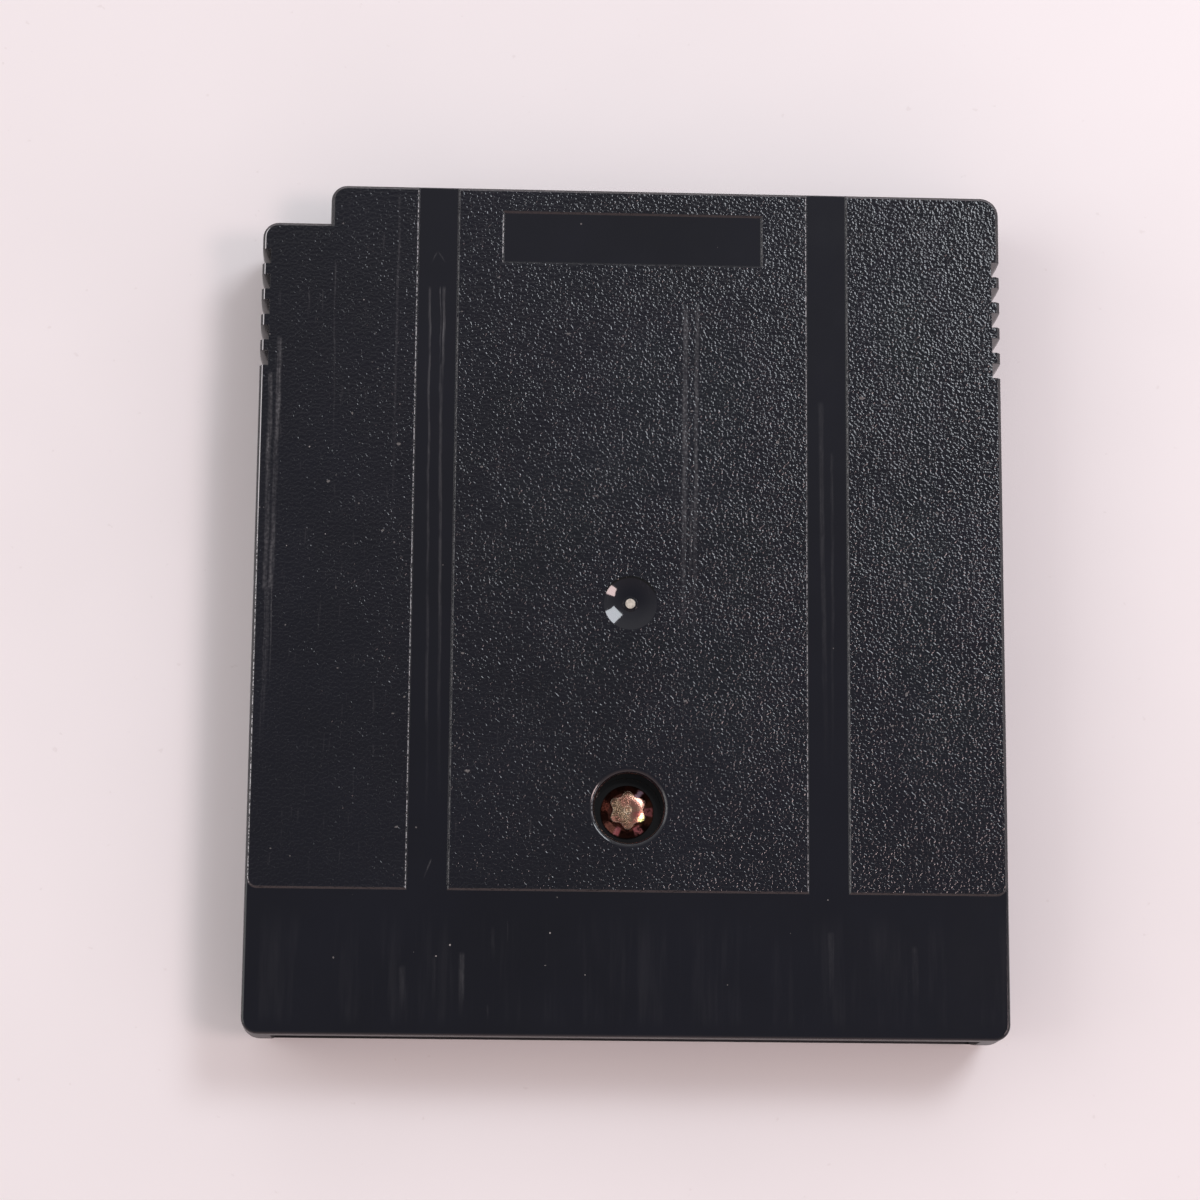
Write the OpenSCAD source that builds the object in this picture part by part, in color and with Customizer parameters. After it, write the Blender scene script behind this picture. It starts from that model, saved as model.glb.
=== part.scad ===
// Handheld game cartridge, lying on its label side with its back up.
// The origin is the middle of the front face, +Y runs to the grip end and +Z out of the back.

/* [Case] */
// Width of the case at the joint between its two shells
case_w = 57; // [56:0.5:60]
// Length of the case at the joint between its two shells
case_l = 65; // [64:0.5:70]
// Thickness of the closed case
case_t = 7.8; // [7.6:0.1:8.6]
// Height of the joint line above the front face
joint_z = 3.9; // [3.7:0.1:4.2]
// Thickness of the side walls, which is also the wall on each side of the contact slot
side_wall = 2.3; // [2.2:0.05:2.5]
// Thickness of the front wall
front_wall = 1.2; // [1.1:0.05:1.35]
// Thickness of the rear wall
rear_wall = 1.2; // [1.05:0.05:1.35]
// How far each outer wall leans in between the joint line and its large face
wall_draft = 0.2; // [0.1:0.01:0.3]
// Radius that breaks the edges of the two large faces
edge_r = 0.2; // [0.15:0.01:0.25]
// Corner radius of the rear shell at the contact end
mouth_corner_r = 1.4; // [1:0.1:1.8]
// Corner radius of the front shell at the contact end, which is a little rounder
front_corner_r = 1.9; // [1:0.1:2.2]
// Corner radius at the grip end
grip_corner_r = 1.6; // [0.8:0.1:2]
// Radius in the inner corners of the case
inner_corner_r = 0.4; // [0.2:0.05:0.6]

/* [Corner notch] */
// Width of the notch at the grip end, which a power switch slides into
notch_w = 5.15; // [4.6:0.05:5.6]
// Depth of the notch along the length of the case
notch_l = 3.05; // [2.6:0.05:3.4]
// Radius of the two outer corners beside the notch
notch_corner_r = 1.4; // [0.8:0.1:1.5]

/* [Shell joint] */
// Thickness of the tongue that the rear shell reaches into the front shell
lap_t = 0.8; // [0.7:0.05:0.95]
// Height of that tongue below the joint line
lap_h = 0.8; // [0.6:0.05:1]
// Clearance around the tongue, the locating pins and the latch hooks
lap_gap = 0.1; // [0.05:0.01:0.15]

/* [Grips] */
// Number of grip notches on each side
grip_count = 5; // [3:1:6]
// Distance from one grip notch to the next
grip_pitch = 2; // [1.7:0.05:2.2]
// Height of one grip notch
grip_h = 1.15; // [0.9:0.05:1.3]
// Depth of the grip notches, from the side of the case at the joint line
grip_depth = 0.85; // [0.6:0.05:1]
// Distance from the grip end of the case to the first notch
grip_from_end = 5.4; // [4.8:0.1:6.5]
// Radius of the two outer corners of each ridge
grip_ridge_r = 0.3; // [0.1:0.05:0.5]
// Length of the grooves that carry the grip on across the front face
groove_l = 5; // [4:0.25:6]
// Depth of those grooves
groove_depth = 0.35; // [0.2:0.05:0.5]

/* [Back face] */
// Height of the raised panels, and so the depth of the bands between them and of the plate
panel_h = 0.15; // [0.1:0.01:0.25]
// Distance from the outer walls to the foot of the panels
panel_rim = 0.12; // [0.08:0.01:0.18]
// Radius of the panels' two corners at the contact end, taken at the outer walls
panel_corner_r = 1.1; // [0.9:0.1:1.5]
// Distance from the contact end of the case to the foot of the panels
panel_from_mouth = 10.85; // [9:0.05:14]
// Width of the floor of each band
band_w = 2.95; // [2.5:0.05:3.5]
// Distance from the middle of the case to the middle of each band
band_x = 14.9; // [14:0.1:16]
// Width of the floor of the small plate
plate_w = 19.7; // [16:0.1:21]
// Height of the floor of the small plate
plate_l = 3.85; // [3:0.05:4.5]
// Distance from the grip end of the case to the middle of the plate
plate_from_end = 4.1; // [3.6:0.1:5]
// Radius of the dish around the moulding gate
dish_r = 2; // [1.6:0.05:2.4]
// Depth of that dish
dish_depth = 0.35; // [0.25:0.01:0.45]
// Radius of the gate stub in the dish
gate_r = 0.38; // [0.3:0.01:0.5]
// Height of the gate stub above the floor of the dish
gate_h = 0.24; // [0.18:0.01:0.3]
// Radius of the collar at the foot of the gate stub
gate_collar_r = 0.55; // [0.52:0.01:0.7]
// Height of that collar
gate_collar_h = 0.12; // [0.06:0.01:0.16]

/* [Front face] */
// Width of the label
label_w = 42; // [38:0.5:44]
// Height of the label
label_l = 37; // [33:0.5:38]
// Corner radius of the label
label_r = 1.5; // [1:0.1:2.5]
// Thickness of the label
label_t = 0.12; // [0.08:0.01:0.16]
// Depth of the recess that holds the label
label_recess = 0.25; // [0.2:0.01:0.35]
// Clearance between the label and the side of its recess
label_gap = 0.2; // [0.1:0.05:0.35]
// Distance from the contact end of the case to the middle of the label
label_from_mouth = 28; // [27:0.25:29]
// Length of the bare recess with round ends between the grips
pill_w = 40; // [36:0.5:42]
// Height of that recess
pill_l = 7.2; // [6:0.1:7.6]
// Depth of that recess
pill_depth = 0.3; // [0.2:0.05:0.4]
// Width of the recessed arrow that shows which end goes in first
arrow_w = 5; // [4:0.25:6]
// Height of that arrow
arrow_l = 3; // [2.5:0.1:3.5]
// Distance from the contact end of the case to the tip of the arrow
arrow_from_mouth = 2.6; // [2:0.1:3.2]

/* [Screw] */
// Distance from the contact end of the case to the screw
screw_from_mouth = 17.1; // [16.5:0.1:17.6]
// Radius of the bore that the screw head lies in
head_bore_r = 2.6; // [2.4:0.05:2.8]
// Radius that rounds the mouth of that bore
head_bore_lip = 0.4; // [0.2:0.05:0.6]
// Depth from the back face to the top of the screw's flange
flange_down = 3; // [2.8:0.05:3.15]
// Radius of the screw's flange
flange_r = 2; // [1.9:0.05:2.25]
// Thickness of the screw's flange beside the driving head
flange_t = 0.6; // [0.5:0.05:0.75]
// Thickness of the flange at its rim
flange_rim_t = 0.4; // [0.3:0.05:0.45]
// Radius over the six lobes of the driving head
lobe_r = 1.45; // [1.3:0.05:1.6]
// Depth of the hollows between the lobes
lobe_swell = 0.35; // [0.2:0.01:0.4]
// Height of the driving head above the flange
lobe_h = 1.3; // [1:0.05:1.5]
// Number of lobes
lobe_count = 6; // [6:1:7]
// Radius of the flat middle of the head's top
lobe_flat_r = 0.6; // [0.5:0.05:0.8]
// Radius that rounds the top off from there to the lobes
lobe_dome_r = 2; // [1.6:0.1:3]
// Radius of the dimple in the top of the head
dimple_r = 0.28; // [0.2:0.02:0.4]
// Depth of that dimple
dimple_depth = 0.1; // [0.06:0.01:0.16]
// Radius of the screw's shank
shank_r = 1; // [0.9:0.05:1.1]
// Length of the screw's shank below the flange
shank_l = 2.8; // [2.5:0.05:3]
// Clearance around the shank where it passes the rear shell
shank_gap = 0.4; // [0.25:0.05:0.5]
// Wall of the boss around the head bore
boss_wall = 1.5; // [1.2:0.05:1.7]
// Thickness of the boss under the screw's flange
boss_floor = 0.9; // [0.7:0.05:1]
// Radius of the post that the screw bites into
post_r = 2.6; // [2.3:0.05:2.8]
// Clearance between the shank and the post's pilot bore
pilot_gap = 0.05; // [0.03:0.01:0.08]

/* [Circuit board] */
// Thickness of the board
board_t = 0.8; // [0.7:0.05:0.95]
// Length of the board
board_l = 53.6; // [52.6:0.1:54.6]
// Distance from the contact end of the case to the edge of the board
board_setback = 0.9; // [0.6:0.05:1.4]
// Clearance between the board and the side walls
board_gap = 0.25; // [0.15:0.05:0.35]
// Height of the seats that the board lies on
seat_h = 0.3; // [0.2:0.05:0.4]
// Width of the seats
seat_w = 1.5; // [1.2:0.1:1.8]
// Clearance between the board and the screw post
post_gap = 0.3; // [0.2:0.05:0.4]
// Radius of the two locating pins
pin_r = 1; // [0.8:0.05:1.2]
// Height of the locating pins above the board
pin_over = 0.5; // [0.3:0.05:0.8]
// Distance from the sides and the end of the board to the locating pins
pin_inset = 2.6; // [2.4:0.1:3]
// Free strip on each side of the row of contacts, at the least
contact_margin = 2; // [1.6:0.1:2.2]
// Distance from one contact to the next
contact_pitch = 1.5; // [1.4:0.02:1.56]
// Width of one contact
contact_w = 1; // [0.8:0.05:1.2]
// Length of one contact
contact_l = 7.5; // [6:0.1:7.8]
// Thickness of the plating of a contact
contact_t = 0.05; // [0.04:0.01:0.08]
// Distance from the board's edge to the contacts
contact_inset = 0.5; // [0.4:0.05:0.8]

/* [Inner ribs] */
// Depth of the contact slot, up to the rib that stops the connector
slot_depth = 9.9; // [9.7:0.1:10.6]
// Thickness of the ribs inside the rear shell
rib_t = 1.2; // [1:0.05:1.4]
// Clearance between the board and the ribs that hold it down
rib_gap = 0.15; // [0.1:0.05:0.25]
// Length of the short ribs that hold the board's sides down
hold_rib_l = 1.6; // [1.2:0.1:1.9]
// Distance from one of those ribs to the next
hold_rib_pitch = 16; // [14:0.5:17]
// Number of those ribs on each side
hold_rib_count = 3; // [2:1:3]
// Height of the two long ribs that stiffen the rear wall behind the bands
stiff_rib_h = 1; // [0.6:0.05:1.2]
// Distance from the middle of the case to each latch hook
hook_x = 12; // [10:0.5:14]
// Width of a latch hook
hook_w = 4; // [3:0.25:5]
// Thickness of a latch hook
hook_t = 1.1; // [0.9:0.05:1.3]
// How far a latch hook reaches into the front shell's wall
hook_reach = 0.6; // [0.4:0.05:0.8]
// Height of the hooks' lower ends above the front wall
hook_lift = 0.4; // [0.3:0.05:0.5]
// Height of a hook's catch
hook_h = 0.6; // [0.5:0.05:0.7]

/* [Chips] */
// Length of the memory chip's body
rom_l = 20.6; // [19:0.2:21.4]
// Width of the memory chip's body
rom_w = 11.2; // [10.4:0.1:11.6]
// Width over the memory chip's leads
rom_span = 14.2; // [13.6:0.1:14.6]
// Number of leads on each side of the memory chip
rom_lead_count = 16; // [14:1:16]
// Length of the mapper chip's body
mapper_l = 15.4; // [14.6:0.1:16]
// Width of the mapper chip's body
mapper_w = 7.5; // [7:0.1:7.8]
// Width over the mapper chip's leads
mapper_span = 10.3; // [9.8:0.1:10.6]
// Number of leads on each side of the mapper chip
mapper_lead_count = 12; // [10:1:12]
// Length of the save chip's body
save_l = 18; // [17.4:0.1:18.2]
// Width of the save chip's body
save_w = 8.4; // [8:0.1:8.8]
// Width over the save chip's leads
save_span = 11.8; // [11.2:0.1:12.2]
// Number of leads on each side of the save chip
save_lead_count = 14; // [12:1:14]
// Length of the supervisor chip's body
guard_l = 5; // [4.9:0.05:5.4]
// Width of the supervisor chip's body
guard_w = 4.4; // [4:0.05:4.6]
// Width over the supervisor chip's leads
guard_span = 6.2; // [5.9:0.05:6.5]
// Number of leads on each side of the supervisor chip
guard_lead_count = 4; // [2:1:4]
// Thickness of the three large chips' bodies
chip_t = 2.3; // [2:0.05:2.4]
// Thickness of the supervisor chip's body
guard_t = 1.5; // [1.3:0.05:1.7]
// Gap under the chips
chip_standoff = 0.1; // [0.05:0.01:0.2]
// How far the sides of a chip's body lean in
chip_lean = 0.12; // [0.08:0.01:0.2]
// Distance from one chip lead to the next
lead_pitch = 1.27; // [1.2:0.01:1.28]
// Width of a chip lead
lead_w = 0.4; // [0.3:0.02:0.5]
// Thickness of a chip lead
lead_t = 0.2; // [0.15:0.01:0.24]
// Free strip between the left side of the board and its chips
left_margin = 5; // [4.6:0.1:5.2]
// Free strip between the right side of the board and its parts
right_margin = 2.8; // [2.6:0.05:3]
// Distance from the end of the board to the upper leads of the memory chip
rom_from_end = 2.9; // [2.6:0.1:3.2]
// Distance from the screw to the middle of the mapper chip, along the board
mapper_up = 6.4; // [6.2:0.1:6.8]
// Distance from the screw to the middle of the save chip, along the board
save_up = 7.6; // [7.4:0.1:7.9]

/* [Backup cell and small parts] */
// Radius of the backup cell
cell_r = 8; // [7.7:0.05:8.1]
// Thickness of the backup cell
cell_t = 1.6; // [1.4:0.05:2]
// Width of the seal and rim around the cell's lower pole
cell_rim = 1.3; // [1:0.05:1.6]
// Rounding of the cell's can
cell_edge_r = 0.5; // [0.3:0.05:0.6]
// Distance from the end of the board to the rim of the cell
cell_from_end = 3.4; // [3.1:0.1:3.6]
// Width of the cell's two tabs
tab_w = 3; // [2.5:0.1:3.4]
// Thickness of the cell's two tabs
tab_t = 0.15; // [0.1:0.01:0.2]
// Length of the soldered foot of each tab
tab_foot = 1.6; // [1.2:0.1:1.8]
// Gap between the rim of the cell and the upper tab
tab_gap = 0.5; // [0.3:0.05:0.6]
// Length of the small resistors and capacitors
small_l = 2; // [1.8:0.05:2.2]
// Width of the small resistors and capacitors
small_w = 1.25; // [1.1:0.05:1.4]
// Thickness of the small capacitors
capacitor_t = 0.85; // [0.7:0.05:1]
// Thickness of the small resistors
resistor_t = 0.5; // [0.4:0.05:0.6]
// Length of each metal end of those parts
small_cap = 0.4; // [0.3:0.02:0.5]
// How much thinner and narrower their middle is, on each side
small_skin = 0.04; // [0.02:0.01:0.06]
// Number of capacitors in the row above the mapper chip
capacitor_count = 2; // [1:1:2]
// Number of resistors beside them
resistor_count = 3; // [1:1:3]
// Distance from one small part to the next
small_pitch = 3.2; // [2.8:0.1:3.4]
// Length of the diode's body
diode_l = 2.9; // [2.7:0.05:3.1]
// Width of the diode's body
diode_w = 1.4; // [1.3:0.05:1.5]
// Width over the diode's leads
diode_span = 2.4; // [2.3:0.05:2.6]
// Thickness of the diode's body
diode_t = 1; // [0.9:0.05:1.1]
// Distance between the diode's two leads on one side
diode_pitch = 1.9; // [1.7:0.05:2]

/* [Hidden] */
$fn = 64;

// Number of straight steps in a rounded corner of the case, and in a broken edge
corner_steps = 8;
edge_steps = 3;
// How far a joined shape reaches into its neighbour, and how far a cut runs past its face
bite = 0.2;

case_color = "#27282d";
board_color = "#2f5d3a";
chip_color = "#1c1c1e";
lead_color = "#b9bcc0";
gold_color = "#d0a852";

half_w = case_w / 2;
half_l = case_l / 2;
mouth_y = -half_l;
base_z = case_t - panel_h;
panel_inset = wall_draft + panel_rim;
slot_half = half_w - side_wall;
rear_in_z = case_t - rear_wall;
tongue_z = joint_z - lap_h;
end_in_y = half_l - side_wall;

board_z = front_wall + seat_h;
board_top = board_z + board_t;
board_half = slot_half - board_gap;
board_y0 = mouth_y + board_setback;
board_y1 = board_y0 + board_l;
contact_count = floor((2 * (board_half - contact_margin) - contact_w) / contact_pitch) + 1;

screw_y = mouth_y + screw_from_mouth;
flange_z = case_t - flange_down - flange_t;
post_top = flange_z - boss_floor;
boss_r = head_bore_r + boss_wall;
stop_rib_y = mouth_y + slot_depth;
hook_z = front_wall + hook_lift;

grip_y = half_l - grip_from_end;
grip_middle_y = grip_y - ((grip_count - 1) * grip_pitch + grip_h) / 2;
label_y = mouth_y + label_from_mouth;

rom_x = -board_half + left_margin + rom_l / 2;
rom_y = board_y1 - rom_from_end - rom_span / 2;
mapper_x = -board_half + left_margin + mapper_l / 2;
mapper_y = screw_y + mapper_up;
save_x = board_half - right_margin - save_l / 2;
save_y = screw_y + save_up;
middle_row_y = (rom_y - rom_span / 2 + mapper_y + mapper_span / 2) / 2;
guard_x = -board_half + left_margin + guard_l / 2 - lead_pitch;
cell_x = board_half - right_margin - cell_r;
cell_y = board_y1 - cell_from_end - cell_r;
cell_z = board_top + tab_t;
small_x = guard_x + guard_l / 2 + small_pitch / 2 + small_w;
diode_x = small_x + (capacitor_count + resistor_count) * small_pitch + diode_l / 4;

// Points on an arc, counterclockwise from angle a0 to a1
function arc(centre, r, a0, a1, steps) =
    [for (i = [0:steps])
        let (a = a0 + (a1 - a0) * i / steps)
        [centre[0] + r * cos(a), centre[1] + r * sin(a)]];

// Corners of the case seen from the back, counterclockwise from the lower left.
// Each is [x, y, outward x, outward y, radius], and radius 0 is the sharp corner inside the notch.
case_corners = [
    [-half_w, -half_l, -1, -1, mouth_corner_r],
    [half_w, -half_l, 1, -1, mouth_corner_r],
    [half_w, half_l, 1, 1, grip_corner_r],
    [-half_w + notch_w, half_l, -1, 1, notch_corner_r],
    [-half_w + notch_w, half_l - notch_l, -1, 1, 0],
    [-half_w, half_l - notch_l, -1, 1, notch_corner_r]
];

// The same corners for the front shell
front_corners = [for (c = case_corners)
    c[3] > 0 ? c : [c[0], c[1], c[2], c[3], front_corner_r]];

function corner_start(c) = c[2] > 0 ? (c[3] > 0 ? 0 : 270) : (c[3] > 0 ? 90 : 180);

function corner_points(c, inset) =
    let (x = c[0] - c[2] * inset, y = c[1] - c[3] * inset, r = max(c[4] - inset, inner_corner_r))
    c[4] == 0
        ? [[x, y]]
        : arc([x - c[2] * r, y - c[3] * r], r, corner_start(c), corner_start(c) + 90, corner_steps);

// Corners of the raised panels, which end short of the contact end
panel_corners = [for (c = case_corners)
    c[3] > 0 ? c : [c[0], mouth_y + panel_from_mouth - panel_inset, c[2], c[3], panel_corner_r]];

// The outline through a list of corners, moved inwards by inset
function outline(corners, inset) = [for (c = corners) for (p = corner_points(c, inset)) p];

// Levels of a shell from the joint line to its large face, each [distance from that face, inset]
function face_levels(depth) = concat(
    [[depth, 0]],
    [for (i = [0:edge_steps])
        let (a = 90 * i / edge_steps)
        [edge_r * (1 - sin(a)), wall_draft + edge_r * (1 - cos(a))]]
);

// Solid through a stack of outlines, from the lowest [z, inset] to the highest.
// Each end is a fan of triangles around the middle of the case.
module loft(corners, levels) {
    n = len(outline(corners, 0));
    last = len(levels) - 1;
    rings = [for (level = levels) for (p = outline(corners, level[1])) [p[0], p[1], level[0]]];
    middles = [[0, 0, levels[0][0]], [0, 0, levels[last][0]]];
    ends = [for (i = [0:n - 1])
        let (j = (i + 1) % n)
        each [[len(rings), i, j], [len(rings) + 1, last * n + j, last * n + i]]];
    sides = [for (k = [0:last - 1]) for (i = [0:n - 1])
        let (j = (i + 1) % n)
        [k * n + i, (k + 1) * n + i, (k + 1) * n + j, k * n + j]];
    polyhedron(concat(rings, middles), concat(ends, sides), convexity = 8);
}

// The case outline, moved inwards by inset, as an upright block from z0 to z1
module case_block(inset, z0, z1) {
    translate([0, 0, z0])
        linear_extrude(z1 - z0)
            polygon(outline(case_corners, inset));
}

module block(x0, x1, y0, y1, z0, z1) {
    translate([x0, y0, z0])
        cube([x1 - x0, y1 - y0, z1 - z0]);
}

module rod(x, y, r, z0, z1) {
    translate([x, y, z0])
        cylinder(r = r, h = z1 - z0);
}

// A profile of [x, z] points, run along Y from y0 to y1
module along_y(profile, y0, y1) {
    translate([0, y1, 0])
        rotate([90, 0, 0])
            linear_extrude(y1 - y0)
                polygon(profile);
}

// A profile of [y, z] points, run along X from x0 to x1
module along_x(profile, x0, x1) {
    translate([x0, 0, 0])
        rotate([90, 0, 90])
            linear_extrude(x1 - x0)
                polygon(profile);
}

module both_sides() {
    children();
    mirror([1, 0, 0])
        children();
}

// Points of a rectangle with round corners around the origin
function round_rect(w, l, r) = concat(
    arc([w / 2 - r, l / 2 - r], r, 0, 90, corner_steps),
    arc([r - w / 2, l / 2 - r], r, 90, 180, corner_steps),
    arc([r - w / 2, r - l / 2], r, 180, 270, corner_steps),
    arc([w / 2 - r, r - l / 2], r, 270, 360, corner_steps)
);

// A cut through the panels whose four sides slope at 45 degrees
module panel_cut(x0, x1, y0, y1) {
    rise = panel_h + bite;
    intersection() {
        along_y([[x0, base_z], [x1, base_z], [x1 + rise, base_z + rise], [x0 - rise, base_z + rise]],
            y0 - rise, y1 + rise);
        along_x([[y0, base_z], [y1, base_z], [y1 + rise, base_z + rise], [y0 - rise, base_z + rise]],
            x0 - rise, x1 + rise);
    }
}

// The three raised panels between and beside the bands, with the plate sunk into the middle one
module back_panels() {
    plate_y = half_l - plate_from_end;
    difference() {
        loft(panel_corners, [
            [base_z - bite, panel_inset], [base_z, panel_inset], [case_t, panel_inset + panel_h]
        ]);
        both_sides()
            panel_cut(band_x - band_w / 2, band_x + band_w / 2, mouth_y, half_l + bite);
        panel_cut(-plate_w / 2, plate_w / 2, plate_y - plate_l / 2, plate_y + plate_l / 2);
    }
}

// The contact slot, open at the end of the case, and the hollow behind it
module hollow(z0, z1) {
    case_block(side_wall, z0, z1);
    block(-slot_half, slot_half, mouth_y - bite, mouth_y + side_wall + mouth_corner_r, z0, z1);
}

// Rounded outer corner of a ridge, from its flat side at y to the outer wall, down for way -1 or up for way 1
function ridge_corner(y, way) =
    [for (i = [0:corner_steps / 2])
        let (a = 90 - 180 * i / corner_steps)
        [half_w - grip_ridge_r * (1 - cos(a)), y + way * grip_ridge_r * (1 - sin(a))]];

function reverse(points) = [for (i = [len(points) - 1:-1:0]) points[i]];

// Notches in both sides of the case, with rounded ridges between them
module grip_notches() {
    floor_x = half_w - grip_depth;
    for (i = [0:grip_count - 1]) {
        top = grip_y - i * grip_pitch;
        low = top - grip_h;
        both_sides()
            translate([0, 0, -bite])
                linear_extrude(case_t + 2 * bite)
                    polygon(concat(
                        [[floor_x, top], [floor_x, low]],
                        ridge_corner(low, -1),
                        [[half_w + bite, low - grip_ridge_r], [half_w + bite, top + grip_ridge_r]],
                        reverse(ridge_corner(top, 1))
                    ));
    }
}

module rear_walls() {
    difference() {
        union() {
            loft(case_corners, [for (level = face_levels(base_z - joint_z)) [base_z - level[0], level[1]]]);
            case_block(side_wall - lap_t, tongue_z, joint_z + bite);
        }
        hollow(tongue_z - bite, rear_in_z);
    }
}

// Profile of a rib that joins the side wall above the joint and stays clear of the front shell below it
function rib_profile(x0) = [
    [x0, board_top + rib_gap],
    [slot_half - lap_gap, board_top + rib_gap],
    [slot_half - lap_gap, tongue_z],
    [slot_half + bite, tongue_z],
    [slot_half + bite, rear_in_z + bite],
    [x0, rear_in_z + bite]
];

// The rib across the case that stops the connector, tied to the screw boss by a web
module stop_rib() {
    both_sides()
        along_y(rib_profile(-bite), stop_rib_y, stop_rib_y + rib_t);
    block(-rib_t / 2, rib_t / 2, stop_rib_y, screw_y, post_top, rear_in_z + bite);
}

module screw_boss() {
    rod(0, screw_y, boss_r, post_top, rear_in_z + bite);
}

// Short ribs on the side walls that hold the board down on its seats
module hold_ribs() {
    first = stop_rib_y + rib_t + hold_rib_pitch / 4;
    for (i = [0:hold_rib_count - 1])
        both_sides()
            along_y(rib_profile(slot_half - hold_rib_l),
                first + i * hold_rib_pitch, first + i * hold_rib_pitch + rib_t);
}

module stiffening_ribs() {
    both_sides()
        block(band_x - rib_t / 2, band_x + rib_t / 2, stop_rib_y + rib_t / 2, end_in_y - 2 * hook_t,
            rear_in_z - stiff_rib_h, rear_in_z + bite);
}

// Hooks at the grip end, which catch in pockets of the front shell
module latch_hooks() {
    outer = end_in_y - lap_gap;
    for (x = [-hook_x, hook_x])
        along_x([
            [outer - hook_t, rear_in_z + bite],
            [outer - hook_t, hook_z],
            [outer, hook_z],
            [outer + hook_reach, hook_z + hook_h / 2],
            [outer + hook_reach, hook_z + hook_h],
            [outer, hook_z + hook_h],
            [outer, tongue_z],
            [end_in_y + bite, tongue_z],
            [end_in_y + bite, rear_in_z + bite]
        ], x - hook_w / 2, x + hook_w / 2);
}

module latch_pockets() {
    for (x = [-hook_x, hook_x])
        block(x - hook_w / 2 - lap_gap, x + hook_w / 2 + lap_gap,
            end_in_y - bite, end_in_y + hook_reach + lap_gap,
            hook_z - lap_gap, hook_z + hook_h + lap_gap);
}

// Bore for the screw head, rounded at its mouth, and the hole for the shank under it
module screw_bore() {
    translate([0, screw_y, 0])
        rotate_extrude()
            polygon(concat(
                [[0, flange_z], [head_bore_r, flange_z]],
                [for (i = [0:corner_steps])
                    let (a = 90 * i / corner_steps)
                    [head_bore_r + head_bore_lip * (1 - cos(a)), case_t - head_bore_lip * (1 - sin(a))]],
                [[head_bore_r + head_bore_lip, case_t + bite], [0, case_t + bite]]
            ));
    rod(0, screw_y, shank_r + shank_gap, post_top - bite, flange_z + bite);
}

module gate_dish() {
    ball_r = (dish_r * dish_r + dish_depth * dish_depth) / (2 * dish_depth);
    translate([0, 0, case_t - dish_depth + ball_r])
        sphere(r = ball_r);
}

module gate_stub() {
    dish_floor = case_t - dish_depth;
    rod(0, 0, gate_collar_r, dish_floor - bite, dish_floor + gate_collar_h);
    rod(0, 0, gate_r, dish_floor - bite, dish_floor + gate_h);
}

module rear_shell() {
    color(case_color)
        union() {
            difference() {
                union() {
                    rear_walls();
                    back_panels();
                    stop_rib();
                    screw_boss();
                    hold_ribs();
                    stiffening_ribs();
                    latch_hooks();
                }
                screw_bore();
                gate_dish();
                grip_notches();
            }
            gate_stub();
        }
}

module front_walls() {
    difference() {
        loft(front_corners, [for (i = [edge_steps + 1:-1:0]) face_levels(joint_z)[i]]);
        hollow(front_wall, joint_z + bite);
        case_block(side_wall - lap_t - lap_gap, tongue_z - lap_gap, joint_z + bite);
    }
}

// Low strips that the board lies on, along both sides and three times across
module board_seats() {
    seat_y0 = board_y0 + seat_w;
    seat_y1 = board_y1 - seat_w;
    both_sides()
        block(slot_half - seat_w, slot_half + bite, seat_y0, seat_y1, front_wall - bite, board_z);
    for (y = [stop_rib_y, (stop_rib_y + seat_y1) / 2, seat_y1 - rib_t])
        block(-slot_half, slot_half, y, y + rib_t, front_wall - bite, board_z);
}

module screw_post() {
    rod(0, screw_y, post_r, front_wall - bite, post_top);
}

module locating_pins() {
    both_sides()
        translate([board_half - pin_inset, board_y1 - pin_inset, front_wall - bite])
            rotate_extrude()
                polygon([
                    [0, 0],
                    [pin_r, 0],
                    [pin_r, board_top + pin_over / 2 - front_wall + bite],
                    [pin_r - pin_over / 2, board_top + pin_over - front_wall + bite],
                    [0, board_top + pin_over - front_wall + bite]
                ]);
}

// Grooves that carry the grip notches on across the front face
module front_grooves() {
    for (i = [0:grip_count - 1])
        both_sides()
            block(half_w - groove_l, half_w + bite,
                grip_y - i * grip_pitch - grip_h, grip_y - i * grip_pitch, -bite, groove_depth);
}

module label_pocket() {
    translate([0, label_y, -bite])
        linear_extrude(label_recess + bite)
            polygon(round_rect(label_w + 2 * label_gap, label_l + 2 * label_gap, label_r + label_gap));
}

module pill_recess() {
    end_x = (pill_w - pill_l) / 2;
    block(-end_x, end_x, grip_middle_y - pill_l / 2, grip_middle_y + pill_l / 2, -bite, pill_depth);
    both_sides()
        rod(end_x, grip_middle_y, pill_l / 2, -bite, pill_depth);
}

module insertion_arrow() {
    tip = mouth_y + arrow_from_mouth;
    translate([0, tip, -bite])
        linear_extrude(label_recess + bite)
            polygon([[0, 0], [arrow_w / 2, arrow_l], [-arrow_w / 2, arrow_l]]);
}

module front_shell() {
    color(case_color)
        difference() {
            union() {
                front_walls();
                board_seats();
                screw_post();
                locating_pins();
            }
            rod(0, screw_y, shank_r + pilot_gap, flange_z - shank_l - lap_gap, post_top + bite);
            latch_pockets();
            grip_notches();
            front_grooves();
            label_pocket();
            pill_recess();
            insertion_arrow();
        }
}

module front_label() {
    color("#c9ccd2")
        translate([0, label_y, label_recess - label_t])
            linear_extrude(label_t)
                polygon(round_rect(label_w, label_l, label_r));
}

// Outline of the driving head, with one lobe towards the grip end
function lobe_outline() =
    [for (i = [0:lobe_count * corner_steps - 1])
        let (a = 360 * i / (lobe_count * corner_steps), wave = (1 - cos(lobe_count * a)) / 2)
        (lobe_r - lobe_swell * wave) * [-sin(a), cos(a)]];

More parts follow.
